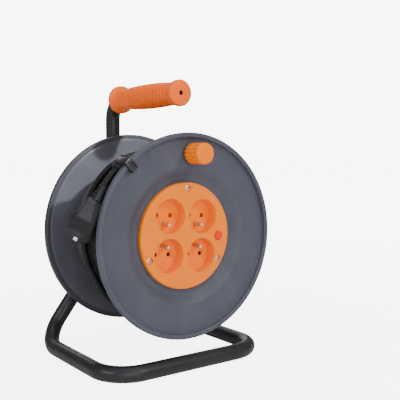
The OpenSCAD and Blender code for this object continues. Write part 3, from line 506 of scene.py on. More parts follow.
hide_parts("plug_earth_clips")

# ---- Floor and light ----
# A plain pale floor that fades into a white room, a large soft panel in front
# of the sockets, a lamp high on the right, and weak panels round the rest. A
# narrow lamp beside the high one falls between the flanges.
FLOOR_LOW = 0.0004
ROOM_GLOW, ROOM_WHITE = 0.22, 8.0
points, faces = skin(turned([[0, 0], [0.3, 0], [0.8, 0], [2, 0], [6, 0], [30, 0]], 64))
floor_mesh = bpy.data.meshes.new("floor")
floor_mesh.from_pydata((points - [0, 0, FLOOR_LOW]).tolist(), [], faces.tolist())
floor = placed("floor", floor_mesh)
paper, shader, place = finish_of("floor_paper", {
    "Base Color": (0.9, 0.9, 0.9, 1), "Roughness": 0.9, "Specular IOR Level": 0.1,
    "Emission Color": (1, 1, 1, 1)})
far = add(paper, "VectorMath", {0: place}, operation="LENGTH").outputs["Value"]
connect(paper, shader, Emission_Strength=product(
    paper, ranged(paper, far, 0.15, 1.6, 5.6, 7.7),
    add(paper, "LightPath").outputs["Is Camera Ray"]))
floor_mesh.materials.append(paper)

world = bpy.data.worlds.new("room")
bpy.context.scene.world = world
world.use_nodes = True
backdrop = world.node_tree.nodes["Background"]
backdrop.inputs["Color"].default_value = (1.0, 1.0, 1.0, 1)
connect(world, backdrop, Strength=ranged(
    world, add(world, "LightPath").outputs["Is Camera Ray"], 0.0, 1.0, ROOM_GLOW, ROOM_WHITE))
# Name, place, width and height in metres, and power in watts
LAMPS = [
    ("front_panel", (-0.75, -2.35, 0.75), 1.7, 1.5, 31.0),
    ("high_lamp", (0.76, -2.23, 1.755), 0.60, 0.60, 33.0),
    ("between_lamp", (0.78, -2.25, 1.59), 0.10, 0.10, 108.0),
    ("left_panel", (-2.2, -0.3, 1.3), 1.4, 1.2, 27.0),
    ("top_panel", (0.1, -0.3, 2.2), 1.8, 1.8, 22.0),
    ("back_panel", (0.8, 2.0, 1.0), 1.6, 1.2, 12.0)]
LAMPS_AIM = Vector((0, 0, 0.15))
for name, spot, wide, high, power in LAMPS:
    lamp = bpy.data.lights.new(name, "AREA")
    lamp.shape, lamp.size, lamp.size_y, lamp.energy = "RECTANGLE", wide, high, power
    hung = placed(name, lamp)
    hung.location = spot
    hung.rotation_mode = "QUATERNION"
    hung.rotation_quaternion = (LAMPS_AIM - Vector(spot)).to_track_quat("-Z", "Y")
between = bpy.data.collections.new("lit_between_flanges")
bpy.data.objects["between_lamp"].light_linking.receiver_collection = between
for piece in (cable, plug_body, plug_relief, plug_pins, earth_strips):
    between.objects.link(piece)

# ---- Front half of the drum ----
# Moulded in grey polypropylene: a flange with half of the barrel. A bead
# stiffens the rim; the web falls in a soft dish to the socket plate's seat.
# Columns take the clamping screws, posts the plate screws, a socle the knob.
BARREL_R, WALL = 69.0, 3.0
RIM_R, RIM_W, RIM_T, RIM_EASE = 120.0, 6.0, 8.0, 2.0
BEAD_R, BEAD_FILLET = RIM_R - RIM_W, 1.3
WEB_Z, LIP_Z, DISH_Z = -1.6, -3.2, -11.2
DISH_R, DISH_FLOOR_R, SEAT_R = 84.0, 67.0, 55.0
SPLIT_Z, SPLIT_GAP = -66.0, 0.1
COLUMN_R, COLUMN_BORE, COLUMN_AT, COLUMN_ANGLES = 5.0, 2.1, 61.5, [30, 150, 270]
SCREW_AT, SCREW_ANGLES = 56.0, [90, 210, 330]
POST_R, POST_BORE, POST_FROM = 3.5, 1.85, -29.2
KNOB_R, SOCLE_R, SOCLE_BORE, SOCLE_FROM = 96.0, 8.5, 3.1, -6.4
FLANGE_SIDES = 200


def web_line(offset, end_r):
    """Front line of the web from the rim inwards, moved back by offset: a
    slight cone, then half a cosine wave down to the flat floor."""
    cone_r = np.linspace(BEAD_R + 1, DISH_R + 3, 14)
    cone = WEB_Z + (LIP_Z - WEB_Z) * (BEAD_R + 1 - cone_r) / (BEAD_R + 1 - DISH_R)
    fall_r = np.linspace(DISH_R + 2, DISH_FLOOR_R - 1, 40)
    share = np.clip((DISH_R - fall_r) / (DISH_R - DISH_FLOOR_R), 0, 1)
    dish = LIP_Z + (DISH_Z - LIP_Z) * (1 - np.cos(np.pi * share)) / 2
    return np.concatenate([np.stack([cone_r, cone], 1), np.stack([fall_r, dish], 1),
                           [[end_r, DISH_Z]]]) - [0, offset]


def flange_section(inner_r):
    """Closed outline of a flange and its half barrel, as (radius, depth): from
    the inner edge along the front to the rim's bead, a smooth step down to the
    back of the web, and along it to the barrel."""
    front = web_line(0, inner_r)[::-1]
    back = web_line(WALL, inner_r)
    face_z = RIM_T / 2 - RIM_EASE
    bead = np.concatenate([
        corner(BEAD_R - BEAD_FILLET, WEB_Z + BEAD_FILLET, BEAD_FILLET, -90, 0),
        corner(BEAD_R + RIM_EASE, face_z, RIM_EASE, 180, 90),
        corner(RIM_R - RIM_EASE, face_z, RIM_EASE, 90, 0),
        corner(RIM_R - RIM_EASE, -face_z, RIM_EASE, 0, -90)])
    front = front[front[:, 0] < BEAD_R - 2]
    back = back[(back[:, 0] < BEAD_R - 2) & (back[:, 0] > BARREL_R + 0.5)]
    share = np.linspace(0, 1, 8)
    step = np.stack([BEAD_R + 1.5 - 3 * share,
                     -RIM_T / 2 + (back[0, 1] + RIM_T / 2) * smooth_step(share)], axis=1)
    barrel = [[BARREL_R, DISH_Z - WALL - 0.6], [BARREL_R, SPLIT_Z + SPLIT_GAP],
              [BARREL_R - WALL, SPLIT_Z + SPLIT_GAP], [BARREL_R - WALL, DISH_Z - WALL]]
    return np.concatenate([front, bead, step, back, barrel, [[inner_r, DISH_Z - WALL]],
                           front[:1]])


def bored(x, y, profile, sides):
    """A profile of (radius, depth) carried round a centre, as a shell."""
    return skin(on_drum(turned(profile, sides) + [x, y, 0]))


def tube_shell(x, y, r_out, r_in, z0, z1, sides=32, ease=0.4):
    """Closed ring wall about (x, y) with eased outer edges."""
    return bored(x, y, [[r_in, z0], [r_out - ease, z0], [r_out, z0 + ease], [r_out, z1 - ease],
                        [r_out - ease, z1], [r_in, z1], [r_in, z0]], sides)


def round_about(r, degrees):
    """Points on a circle round the axle."""
    return [(r * math.cos(k), r * math.sin(k)) for k in np.radians(degrees)]


def clamp_columns(z0, z1):
    """The three columns of the clamping screws from one depth to another."""
    return [tube_shell(x, y, COLUMN_R, COLUMN_BORE, z0, z1)
            for x, y in round_about(COLUMN_AT, COLUMN_ANGLES)]


slate = moulded("slate_polypropylene", (0.062, 0.065, 0.085), (0.076, 0.080, 0.103), 0.48,
                0.0009, 0.00005, specular=0.25)
front_flange = build("front_half", [
    bored(0, 0, flange_section(SEAT_R), FLANGE_SIDES),
    *clamp_columns(SPLIT_Z + SPLIT_GAP, DISH_Z - WALL / 2),
    *(tube_shell(x, y, POST_R, POST_BORE, POST_FROM, DISH_Z - 0.3)
      for x, y in round_about(SCREW_AT, SCREW_ANGLES)),
    tube_shell(0, KNOB_R, SOCLE_R, SOCLE_BORE, SOCLE_FROM, 0.0, 64, 0.7)], slate, "drum")
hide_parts("front_flange")

# ---- Rear half of the drum ----
# The front half's mirror in the same plastic, clamped to it by three long
# screws and polished on its inner face. Six ribs stiffen the hub, which turns
# on the axle. Its rim is darkened in colour: painted shade.
REAR_RIM_Z = -132.0
REAR_WALL_Z = REAR_RIM_Z - DISH_Z
HUB_R, HUB_BORE, HUB_FROM, HUB_TO = 15.0, 10.1, -149.9, -103.9
RIBS, RIB_T, RIB_H, RIB_EASE = 6, 2.5, 7.0, 0.6
# Where the rim's painted shade starts and ends, in metres from the axle, and its share
RIM_SHADE_FROM, RIM_SHADE_TO, RIM_SHADE_SHARE = 0.1125, 0.1150, 0.62


def tint(material, share, colour):
    """Mixes a colour into a material's own one by a share."""
    shader = material.node_tree.nodes["Principled BSDF"]
    clean = shader.inputs["Base Color"].links[0].from_socket
    connect(material, shader, Base_Color=mixed(material, share, clean, colour))


# Its base colour is a little lighter than the front half's: painted light on the inner face
# between the flanges
glossy = moulded("slate_polished", (0.070, 0.071, 0.088), (0.086, 0.087, 0.106), 0.36, 0.0012,
                 0.00002, specular=0.22)
from_axle = mapped(glossy, add(glossy, "TexCoord").outputs["Object"], Scale=(1.0, 0.0, 1.0),
                   Location=(0.0, 0.0, -AXLE_HEIGHT * MM))
off_axle = add(glossy, "VectorMath", {0: from_axle}, operation="LENGTH").outputs["Value"]
# Painted shade: the colour darkens over the rim's outer band, out from the axle
tint(glossy, ranged(glossy, off_axle, RIM_SHADE_FROM, RIM_SHADE_TO, 0.0, RIM_SHADE_SHARE),
     (0.018, 0.018, 0.023))
# A rib runs out from the hub and gets lower on its way
rib_x = np.linspace(HUB_R - 1, DISH_FLOOR_R - 5, 24)
crest = REAR_WALL_Z - RIB_H * (1 - 0.55 * smooth_step((rib_x - 30) / 32))
foot = np.full(len(rib_x), REAR_WALL_Z + RIB_EASE)
rib_y = RIB_T / 2 * np.array([-1, -1, -1, 1, 1, 1]) + RIB_EASE * np.array([0, 0, 1, -1, 0, 0])
rib = grid_of(rib_x[:, None], rib_y, np.stack(
    [foot, crest + RIB_EASE, crest, crest, crest + RIB_EASE, foot], axis=1))
core = np.repeat(rib.mean(axis=1, keepdims=True), rib.shape[1], axis=1)
rib = np.concatenate([core[:1], rib, core[-1:]])
rear_flange = build("rear_half", [
    bored(0, 0, flange_section(HUB_R - 1) * [1, -1] + [0, REAR_RIM_Z], FLANGE_SIDES),
    *clamp_columns(REAR_WALL_Z + WALL / 2, SPLIT_Z - SPLIT_GAP),
    tube_shell(0, 0, HUB_R, HUB_BORE, HUB_FROM, HUB_TO, 64, 0.8),
    *(skin(on_drum(swung(rib, 2 * math.pi * k / RIBS))) for k in range(RIBS))], glossy, "drum")
between.objects.link(rear_flange)
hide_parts("rear_flange")

# ---- Socket plate ----
# One orange moulding in glossy ABS: a domed-edge disc with four recessed
# sockets, each with two contact holes and the hole of its earth pin, three
# sunk screw seats and the hole of the reset button.
PLATE_R, PLATE_Z, PLATE_T = 62.5, -5.2, 3.0
PLATE_BACK, PLATE_INNER = PLATE_Z - PLATE_T, PLATE_R - 2.4
SOCKET_R, SOCKET_AT, SOCKET_FLOOR, SOCKET_EASE = 20.0, 23.0, -20.7, 0.7
FLOOR_EASE, FLOOR_R = 1.2, SOCKET_R - 1.35
WELL_R, WELL_BACK, WELL_EASE = 21.8, -23.1, 0.5
CONTACT_HALF, CONTACT_HOLE_R, EARTH_AT, EARTH_R = 9.5, 2.7, 10.0, 2.4
SCREW_SINK, SINK_R, SCREW_HOLE_R = 2.4, 3.9, 2.0
BUTTON_X, BUTTON_R = 47.0, 5.0
BUTTON_HOLE_R, HOLE_EASE = BUTTON_R + 0.3, 0.4


def ring(x, y, r, sides):
    """Points of a circle about (x, y)."""
    a = all_round(sides)
    return np.stack([x + r * np.cos(a), y + r * np.sin(a)], axis=1)


def pierced(z, rings):
    """Flat face at depth z inside the first ring and outside the others:
    a constrained Delaunay mesh whose triangles in a hole are left out."""
    edges, start = [], 0
    for loop in rings:
        k = list(range(start, start + len(loop)))
        edges += list(zip(k, k[1:] + k[:1]))
        start += len(loop)
    flat, _, triangles, *_ = delaunay_2d_cdt(
        [Vector(p) for loop in rings for p in loop], edges, [], 1, 1e-5)
    points = np.array([[*p, z] for p in flat])
    kept = np.array([list(t) for t in triangles])
    middle = points[kept].mean(axis=1)[:, :2]
    inside = np.ones(len(kept), bool)
    for loop in rings[1:]:
        centre = loop.mean(axis=0)
        away = middle - centre
        half = np.pi / len(loop)
        off_edge = np.arctan2(away[:, 1], away[:, 0]) % (2 * half) - half
        reach = np.linalg.norm(loop[0] - centre) * np.cos(half) / np.cos(off_edge)
        inside &= np.linalg.norm(away, axis=1) > reach
    return on_drum(points), kept[inside]


face_rings = [ring(0, 0, PLATE_R - 2, 240)]
back_rings = [ring(0, 0, PLATE_INNER, 240)]
plate_shells = [bored(0, 0, np.concatenate([
    corner(PLATE_R - 2, PLATE_Z - 2, 2, 90, 0, 8),
    [[PLATE_R, DISH_Z + 0.3], [PLATE_R - 0.3, DISH_Z], [PLATE_INNER, DISH_Z],
     [PLATE_INNER, PLATE_BACK]]]), 240)]
for across, up in [(-1, 1), (1, 1), (-1, -1), (1, -1)]:
    x, y = across * SOCKET_AT, up * SOCKET_AT
    face_rings.append(ring(x, y, SOCKET_R + SOCKET_EASE, 120))
    back_rings.append(ring(x, y, WELL_R, 120))
    plate_shells.append(bored(x, y, np.concatenate([
        corner(SOCKET_R + SOCKET_EASE, PLATE_Z - SOCKET_EASE, SOCKET_EASE, 90, 180),
        [[SOCKET_R - 0.15, SOCKET_FLOOR + FLOOR_EASE]],
        corner(FLOOR_R, SOCKET_FLOOR + FLOOR_EASE, FLOOR_EASE, 0, -90)]), 120))
    plate_shells.append(bored(x, y, [[WELL_R, PLATE_BACK], [WELL_R, WELL_BACK + WELL_EASE],
                                     [WELL_R - WELL_EASE, WELL_BACK]], 120))
    floor_rings = [ring(x, y, FLOOR_R, 120)]
    under_rings = [ring(x, y, WELL_R - WELL_EASE, 120)]
    # Two contact holes with a lead-in, and the earth pin's close hole
    holes = [(x + off, y, CONTACT_HOLE_R, 0.5) for off in (-CONTACT_HALF, CONTACT_HALF)]
    holes.append((x, up * (SOCKET_AT - EARTH_AT), EARTH_R + 0.1, 0.15))
    for hole_x, hole_y, r, lead_in in holes:
        floor_rings.append(ring(hole_x, hole_y, r + lead_in, 40))
        under_rings.append(ring(hole_x, hole_y, r, 40))
        plate_shells.append(bored(hole_x, hole_y, [
            [r + lead_in, SOCKET_FLOOR], [r, SOCKET_FLOOR - lead_in], [r, WELL_BACK]], 40))
    plate_shells += [pierced(SOCKET_FLOOR, floor_rings), pierced(WELL_BACK, under_rings)]
for x, y in round_about(SCREW_AT, SCREW_ANGLES):
    face_rings.append(ring(x, y, SINK_R + HOLE_EASE, 48))
    back_rings.append(ring(x, y, SCREW_HOLE_R, 48))
    plate_shells.append(bored(x, y, np.concatenate([
        corner(SINK_R + HOLE_EASE, PLATE_Z - HOLE_EASE, HOLE_EASE, 90, 180, 4),
        [[SINK_R, PLATE_Z - SCREW_SINK], [SCREW_HOLE_R, PLATE_Z - SCREW_SINK],
         [SCREW_HOLE_R, PLATE_BACK]]]), 48))
face_rings.append(ring(BUTTON_X, 0, BUTTON_HOLE_R + HOLE_EASE, 64))
back_rings.append(ring(BUTTON_X, 0, BUTTON_HOLE_R, 64))
plate_shells.append(bored(BUTTON_X, 0, np.concatenate([
    corner(BUTTON_HOLE_R + HOLE_EASE, PLATE_Z - HOLE_EASE, HOLE_EASE, 90, 180, 4),
    [[BUTTON_HOLE_R, PLATE_BACK]]]), 64))
plate_shells += [pierced(PLATE_Z, face_rings), pierced(PLATE_BACK, back_rings)]
orange = moulded("orange_abs", (0.97, 0.205, 0.0003), (1.0, 0.235, 0.0006), 0.34, 0.0012,
                 0.00002, 0.4, specular=0.15)
plate = build("plate_with_sockets", plate_shells, orange, "drum")
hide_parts("socket_plate")

# ---- Plate screws ----
# Three pan-head screws with a pressed cross, zinc-plated and passivated to a
# warm tone. They hold the plate to the columns of the front half.
HEAD_R, HEAD_T, HEAD_SIDE, SHANK_R, SHANK_END = 3.5, 2.0, 0.8, 1.75, -12.0
CROSS_HALF, CROSS_REACH, CROSS_DEEP = 0.42, 2.0, 1.05


def cross_arm(off, along):
    """1 inside one arm of the pressed cross, 0 outside, with sloped walls."""
    return (smooth_step((CROSS_HALF - np.abs(off)) / 0.12)
            * smooth_step((CROSS_REACH - np.abs(along)) / 0.5))


dome_r = np.concatenate([[0], np.linspace(0.12, HEAD_R - 0.15, 26)])
dome = np.stack([dome_r, HEAD_T - 0.75 * (dome_r / HEAD_R) ** 2.4], axis=1)
plain_screw = turned(np.concatenate([
    dome, [[HEAD_R, HEAD_SIDE], [HEAD_R, 0], [SHANK_R, 0], [SHANK_R, SHANK_END],
           [0, SHANK_END]]]), 96)
screw_shells = []
for n, (x, y) in enumerate(round_about(SCREW_AT, SCREW_ANGLES)):
    screw = plain_screw.copy()
    u, v, _ = np.moveaxis(swung(screw[:len(dome)], -math.radians(24 + 37 * n)), -1, 0)
    screw[:len(dome), :, 2] -= CROSS_DEEP * np.maximum(cross_arm(u, v), cross_arm(v, u))
    screw_shells.append(skin(on_drum(screw + [x, y, PLATE_Z - SCREW_SINK])))
passivated = plated("passivated_zinc", (0.74, 0.47, 0.37), 0.36, (1.0, 1.0, 0.2))
plate_screws = build("plate_screws_pan", screw_shells, passivated, "drum", sharp=40)
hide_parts("plate_screws")

# ---- Reset button ----
# The red, shallow-domed button of the overload cut-out, moulded in ABS. It
# slides in the plate on its own spring.
BUTTON_TOP, BUTTON_BASE, BUTTON_EASE = -2.6, -10.1, 0.9
STEM_R, STEM_END = 2.0, BUTTON_BASE - 6
red = moulded("red_abs", (0.85, 0.012, 0.004), (0.93, 0.020, 0.008), 0.30, 0.0009, 0.00002, 0.4,
              specular=0.35)
cap_r = np.linspace(0, BUTTON_R - BUTTON_EASE, 14)
button_profile = np.concatenate([
    np.stack([cap_r, BUTTON_TOP - 0.35 * (cap_r / BUTTON_R) ** 2], 1),
    corner(BUTTON_R - BUTTON_EASE, BUTTON_TOP - 0.25 - BUTTON_EASE, BUTTON_EASE, 90, 0, 7),
    [[BUTTON_R, BUTTON_BASE], [STEM_R, BUTTON_BASE], [STEM_R, STEM_END], [0, STEM_END]]])
button = build("reset_button_cap", [bored(BUTTON_X, 0, button_profile, 72)], red, "reset_button")
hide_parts("reset_button")

# ---- Crank knob ----
# Turned by hand, free on a steel pin in the front flange: an orange moulding
# with flutes along its side that die out at the rounded end.
KNOB_D, KNOB_FROM, KNOB_LEN, KNOB_BORE, KNOB_BORE_LEN = 25.0, 0.3, 26.0, 3.06, 20.0
KNOB_ROUND, KNOB_SIDE_R = 3.5, KNOB_D / 2 - 0.2
FLUTES, FLUTE_DEEP = 16, 1.15
knob_orange = moulded("orange_knob", (0.97, 0.195, 0.0003), (1.0, 0.225, 0.0006), 0.38, 0.0009,
                      0.00003, specular=0.15)
knob = turned(np.concatenate([
    [[KNOB_BORE, 0], [KNOB_SIDE_R - 1, 0]], corner(KNOB_SIDE_R - 1, 1, 1, -90, 0, 5)[1:],
    np.stack([np.full(26, KNOB_SIDE_R), np.linspace(2.2, KNOB_LEN - 4.2, 26)], 1),
    corner(KNOB_SIDE_R - KNOB_ROUND, KNOB_LEN - KNOB_ROUND, KNOB_ROUND, 0, 90, 14),
    [[r, KNOB_LEN] for r in (5.5, 5.2, 4.7, 4.4, 0)]]), 256)
knob_r = np.hypot(knob[..., 0], knob[..., 1])
flute = np.clip(np.cos(FLUTES * np.arctan2(knob[..., 1], knob[..., 0])), 0, 1) ** 1.5
fading = (smooth_step((KNOB_LEN - 1.2 - knob[..., 2]) / 4.0)
          * (knob_r > KNOB_SIDE_R - KNOB_ROUND + 0.1))
knob[..., :2] *= (1 - FLUTE_DEEP * flute * fading / np.maximum(knob_r, 1))[..., None]
bore = turned([[KNOB_BORE, 0], [KNOB_BORE, KNOB_BORE_LEN], [0, KNOB_BORE_LEN]], 256)
crank_knob = build("crank_knob_fluted", [skin(on_drum(shell + [0, KNOB_R, KNOB_FROM]))
                                         for shell in (knob, bore)],
                   knob_orange, "crank_knob", sharp=50)
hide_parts("crank_knob")

# ---- Rim hook ----
# A black nylon clip pushed over the front rim; its ribbed clasp behind the
# rim holds the cord where it drops to the plug.
HOOK_AT, HOOK_W, HOOK_EASE = math.radians(137), 9.0, 0.5
CLASP_R, CLASP_Z, CLASP_W, CLASP_BORE, CLASP_OUT = 117.5, -14.0, 16.0, 4.0, 6.6
CLASP_RIB_PITCH, CLASP_RIB_DEEP, CLASP_RIBS_TO = 2.8, 1.5, 7.2
HOOK_TOP, HOOK_LOW, HOOK_FRONT = CLASP_R + CABLE_D / 2 + 3.4, RIM_R - 12, RIM_T / 2 + 0.3


def strip_of(outline, wide):
    """A flat outline of (radius, depth) given a width along the rim; its two
    edges are drawn in so that no corner is sharp."""
    outline = np.asarray(outline, float)
    away = outline - outline.mean(axis=0)
    length = np.linalg.norm(away, axis=1)[:, None].clip(2)
    inner = outline.mean(axis=0) + away * (1 - HOOK_EASE / length)
    points, faces = skin(np.stack([grid_of(line[:, 0], along, line[:, 1]) for line, along in (
        (inner, -wide / 2), (outline, HOOK_EASE - wide / 2),
        (outline, wide / 2 - HOOK_EASE), (inner, wide / 2))]))
    n = len(outline)
    return points, faces.tolist() + [list(range(n))[::-1], list(range(3 * n, 4 * n))]


hook_strip = strip_of([
    [HOOK_LOW, HOOK_FRONT], [HOOK_LOW, HOOK_FRONT + 1.5], [HOOK_LOW + 1.1, HOOK_FRONT + 2.6],
    [HOOK_LOW + 2, HOOK_FRONT + 3], [HOOK_TOP - 2, HOOK_FRONT + 3],
    [HOOK_TOP - 0.6, HOOK_FRONT + 2.4], [HOOK_TOP, HOOK_FRONT + 1], [HOOK_TOP, CLASP_Z],
    [RIM_R + 0.3, CLASP_Z], [RIM_R + 0.3, HOOK_FRONT]], HOOK_W)
tongue = strip_of([
    [RIM_R - 10.5, WEB_Z + 0.3], [BEAD_R - 0.3, WEB_Z + 0.3], [BEAD_R - 0.3, HOOK_FRONT + 0.4],
    [HOOK_LOW, HOOK_FRONT + 0.4], [HOOK_LOW, WEB_Z + 1.5]], HOOK_W - 0.2)
clasp_y = np.linspace(-CLASP_W / 2, CLASP_W / 2, 129)[:, None]
between_ribs = (smooth_step((0.30 - np.abs((clasp_y / CLASP_RIB_PITCH) % 1.0 - 0.5)) / 0.10)
          * (np.abs(clasp_y) < CLASP_RIBS_TO))
a = all_round(48)
clasp_r = CLASP_OUT - CLASP_RIB_DEEP * between_ribs * smooth_step((np.sin(a) + 0.55) / 0.2)
outer = grid_of(CLASP_R + clasp_r * np.cos(a), clasp_y, CLASP_Z - clasp_r * np.sin(a))
left, right = [grid_of(CLASP_R + CLASP_BORE * np.cos(a), y, CLASP_Z - CLASP_BORE * np.sin(a))[None]
               for y in (-CLASP_W / 2, CLASP_W / 2)]
clasp = skin(np.concatenate([left, outer, right, left]))
hook_nylon = moulded("hook_nylon", (0.014, 0.0135, 0.0165), (0.021, 0.020, 0.024), 0.30, 0.0006,
                     0.00004)
hook = build("rim_hook_clip", [(on_drum(swung(points, HOOK_AT)), faces)
                               for points, faces in (hook_strip, tongue, clasp)],
             hook_nylon, "drum")
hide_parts("rim_hook")

# ---- Tube frame ----
# Steel tube, bent cold and coated in satin black: one tube forms the floor
# loop and both legs, the other the upright and the carrier of the grip. The
# coating is rubbed off where the loop stands on the floor.
RUBBED_TO = 0.004
powder, shader, place = finish_of("black_powder_coat", {
    "IOR": 1.5, "Specular IOR Level": 0.28, "Coat Weight": 0.03, "Coat Roughness": 0.25})
peel = spread_noise(powder, place, 620.0, 2.0, 0.25, 0.75)
haze = spread_noise(powder, place, 30.0, 5.0, 0.35, 0.7, 0.30, 0.48)
cloud = spread_noise(powder, place, 14.0, 4.0, 0.3, 0.7)
near_floor = ranged(powder, add(powder, "SeparateXYZ", {0: place}).outputs["Z"], RUBBED_TO, 0.0)
scuffs = spread_noise(powder, place, 420.0, 6.0, 0.48, 0.60)
coated = mixed(powder, cloud, (0.0150, 0.0135, 0.0165), (0.022, 0.020, 0.024))
connect(powder, shader, Roughness=haze, Normal=bumped(powder, 0.30, 0.00012, peel),
        Base_Color=mixed(powder, product(powder, near_floor, scuffs), coated,
                         (0.33, 0.33, 0.34)))
for name in ("handle_tube", "floor_loop", "hub_sleeve"):
    dress(name, powder)

# ---- Weld seams ----
# Both tubes are welded to a short sleeve that holds the axle. The seams run
# round the tubes' ends and are coated with them.
TUBE_R, SLEEVE_R, SEAM_R = 9.5, 17.0, 1.9
LEGS_Y, UPRIGHT_Y = FRONT_RIM_Y + 172.0, FRONT_RIM_Y + 176.0


def weld_bead(direction, y):
    """Seam where a tube meets the sleeve: for each angle round the tube the
    point of the tube's skin at the sleeve's radius, ringed by a small circle
    whose radius swells and shrinks with each puddle of weld."""
    d = np.array([direction[0], 0.0, direction[1]]) / math.hypot(*direction)
    across = np.array([-d[2], 0.0, d[0]])
    t = all_round(180)
    side = TUBE_R * np.cos(t)
    out = np.sqrt(SLEEVE_R ** 2 - side ** 2)
    line = (np.array([0, y, AXLE_HEIGHT]) + out[:, None] * d + side[:, None] * across
            + TUBE_R * np.sin(t)[:, None] * np.array([0, 1.0, 0]))
    along = unit(np.roll(line, -1, axis=0) - np.roll(line, 1, axis=0))
    ex = unit(np.cross(along, d))
    swell = SEAM_R * (1 + 0.10 * np.sin(30 * t) + 0.06 * np.sin(7 * t + 1))[:, None, None]
    bead = ringed(line, swell, ex, np.cross(ex, along), 12)
    return skin(MM * np.concatenate([bead, bead[:1]]))


welds = build("weld_seams", [weld_bead((0, 1), UPRIGHT_Y), weld_bead((0.6, -0.8), LEGS_Y),
                             weld_bead((-0.6, -0.8), LEGS_Y)], powder, "frame", sharp=60)

# ---- Grip ----
# A soft PVC sleeve pressed over the end of the upper tube, thicker at its head
# and collar, with thirteen fine finger grooves, two faint mould seams and a
# small vent hole. The grooves are darkened in colour: painted shade.
GRIP_FROM, GRIP_LEN, GRIP_Z = FRONT_RIM_Y + 15.0, 142.0, 322.0
GRIP_R, COLLAR_R, COLLAR_FOOT_R, COLLAR_FROM = 15.5, 18.0, 15.2, 134.0
HEAD_ROUND, COLLAR_ROUND = 3.0, 2.2
GROOVES, GROOVE_PITCH, FIRST_GROOVE, GROOVE_DEEP = 13, 6.2, 21.5, 1.6
TUBE_SEAT_R, VENT_R, END_WALL, COLLAR_SINK = 9.6, 2.7, 2.2, 8
SEAM_HIGH, SEAM_HALF = 0.13, 0.9
# Places along the grip and its radius there, before the grooves are cut
GRIP_SWELL = np.array([
    [0, GRIP_R], [6, GRIP_R], [13, 13.7], [24, 13.9], [36, 14.6], [55, 15.2], [72, 15.3],
    [90, 15.0], [108, 14.0], [122, 12.9], [128, 13.1], [COLLAR_FROM, COLLAR_FOOT_R],
    [GRIP_LEN, COLLAR_R]])


def drawn_in(from_edge, r):
    """How far an edge rounded to radius r lies inside at a way from the edge."""
    into_round = np.clip(r - from_edge, 0, r)
    return r - np.sqrt(r ** 2 - into_round ** 2)


t = np.linspace(0, GRIP_LEN, 568)
grip_line = through(GRIP_SWELL, 12)
grip_r = np.interp(t, grip_line[:, 0], grip_line[:, 1])
collar_r = COLLAR_FOOT_R + (COLLAR_R - COLLAR_FOOT_R) * smooth_step((t - 132.5) / 3.5)
grip_r = np.minimum(np.where(t > COLLAR_FROM, collar_r, grip_r), COLLAR_R)
grip_r = grip_r - drawn_in(t, HEAD_ROUND) - drawn_in(GRIP_LEN - t, COLLAR_ROUND)
phase = (t - FIRST_GROOVE) / GROOVE_PITCH
within = smooth_step((phase + 0.5) / 0.3) * smooth_step((GROOVES - 0.5 - phase) / 0.3)
groove = within * np.exp(-((phase - np.round(phase)) * GROOVE_PITCH) ** 2)
grip = turned(np.concatenate([
    [[TUBE_SEAT_R, END_WALL], [VENT_R, END_WALL], [VENT_R, 0.5], [VENT_R + 0.4, 0]],
    np.stack([grip_r - GROOVE_DEEP * groove, t], 1)[1:],
    [[11.1, GRIP_LEN], [11.1, GRIP_LEN - COLLAR_SINK], [TUBE_SEAT_R, GRIP_LEN - COLLAR_SINK],
     [TUBE_SEAT_R, END_WALL]]]), 160)
off_side = np.abs(np.degrees(np.arctan2(grip[..., 1], grip[..., 0])))
seam = np.exp(-(off_side / SEAM_HALF) ** 2) + np.exp(-((180 - off_side) / SEAM_HALF) ** 2)
skin_r = np.hypot(grip[..., 0], grip[..., 1])
grip[..., :2] *= 1 + (SEAM_HIGH * seam * (skin_r > 12.4) / np.maximum(skin_r, 1))[..., None]
groove_share = np.interp(grip[..., 2], t, groove) * (skin_r > 11.5)
grip_orange = moulded("orange_grip_pvc", (0.96, 0.135, 0.0006), (1.0, 0.155, 0.0010), 0.55,
                      0.0007, 0.00006, 0.3, specular=0.25)
# Painted shade: the colour darkens towards the bottom of each finger groove
groove_shade = add(grip_orange, "SeparateXYZ",
                {0: add(grip_orange, "UVMap", uv_map="along").outputs["UV"]}).outputs["X"]
tint(grip_orange, ranged(grip_orange, groove_shade, 0.25, 1.0, 0.0, 0.75), (0.40, 0.022, 0.0003))
on_tube = MM * grid_of(grip[..., 0], GRIP_FROM + grip[..., 2], GRIP_Z + grip[..., 1])
handle_grip = build("grip_sleeve", [skin(on_tube)], grip_orange, "frame", sharp=50,
                    along_uv=np.stack([groove_share, grip[..., 2] / GRIP_LEN], -1).reshape(-1, 2))
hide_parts("grip")

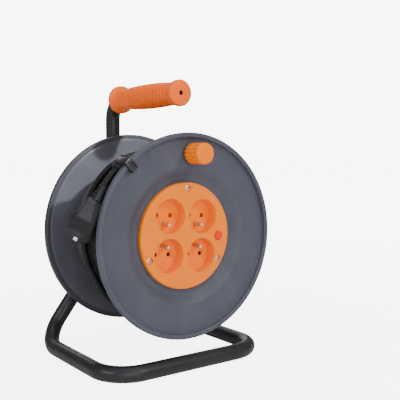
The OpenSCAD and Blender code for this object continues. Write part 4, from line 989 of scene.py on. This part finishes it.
# ---- Axle ----
# A zinc-plated hexagon bolt through the sleeve, with washers and a lock nut
# inside the drum; the drum turns on it in a nylon bush.
HEX_HALF, HEAD_FROM, HEAD_TO = 12.0, -187.8, -196.8
CHAMFER_R, SUNK_R, SUNK = 11.3, 9.2, 0.45
AXLE_R, AXLE_END = 8, -90.3
zinc = plated("zinc_plate", (0.72, 0.73, 0.74), 0.26, (1.0, 1.0, 0.2))
a = all_round(240)
hexagon = HEX_HALF / np.cos((a + np.pi / 6) % (np.pi / 3) - np.pi / 6)
rho = np.linspace(0, 1, 25)[:, None] * hexagon
head_face = (HEAD_TO + np.clip(rho - CHAMFER_R, 0, None) * 0.55
             + SUNK * smooth_step((SUNK_R - rho) / 0.6))
head = np.concatenate([polar(rho, a, head_face), polar(hexagon, a, HEAD_FROM - 0.01)[None],
                       polar(0, a, HEAD_FROM - 0.01)[None]])
shank = turned([[0, HEAD_FROM - 0.5], [AXLE_R, HEAD_FROM - 0.5], [AXLE_R, AXLE_END - 1],
                [AXLE_R - 1, AXLE_END], [0, AXLE_END]], 72)
axle = build("axle_bolt_hex", [skin(on_axle(head)), skin(on_axle(shank))], zinc, "frame",
             sharp=28)
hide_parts("axle_bolt")

# ---- Inside of the drum ----
# What the plate covers, and small hardware: pressed brass contacts and earth
# bar, nickel earth pins, a white insulating tray, terminal block and screws.
# The shutters of the upper sockets are deep orange; those of the lower sockets
# are black, painted shade for the dark inside the lower holes.
brass = plated("pressed_brass", (0.72, 0.52, 0.21), 0.24, (1.0, 0.3, 1.0), 0.4)
white = moulded("natural_nylon", (0.70, 0.68, 0.61), (0.78, 0.76, 0.70), 0.45, 0.0008, 0.00004)
nylon = moulded("black_nylon", (0.010, 0.010, 0.012), (0.017, 0.017, 0.020), 0.46, 0.0006,
                0.00005, specular=0.18)
deep_orange = moulded("deep_orange_abs", (0.40, 0.016, 0.0006), (0.48, 0.022, 0.001), 0.40,
                      0.0008, 0.00003, specular=0.2)
pin_nickel = plated("pin_nickel", (0.66, 0.62, 0.58), 0.42, (1.0, 0.15, 1.0), 0.1)
FINISHES = {
    pin_nickel: ["earth_pins"],
    brass: ["earth_bar", "live_contacts", "neutral_contacts"],
    zinc: ["rear_thrust_washer", "inner_washer", "lock_nut", "drum_screws", "tray_screw",
           "knob_pin"],
    white: ["hub_bush", "contact_tray", "terminal_block"],
    # The black on the lower shutters is painted shade for the dark in the lower holes
    nylon: ["thermal_cutout", "inlet_clamp", "shutter_bottom_left", "shutter_bottom_right"],
    deep_orange: ["shutter_top_left", "shutter_top_right"]}
for material, names in FINISHES.items():
    for name in names:
        dress(name, material)
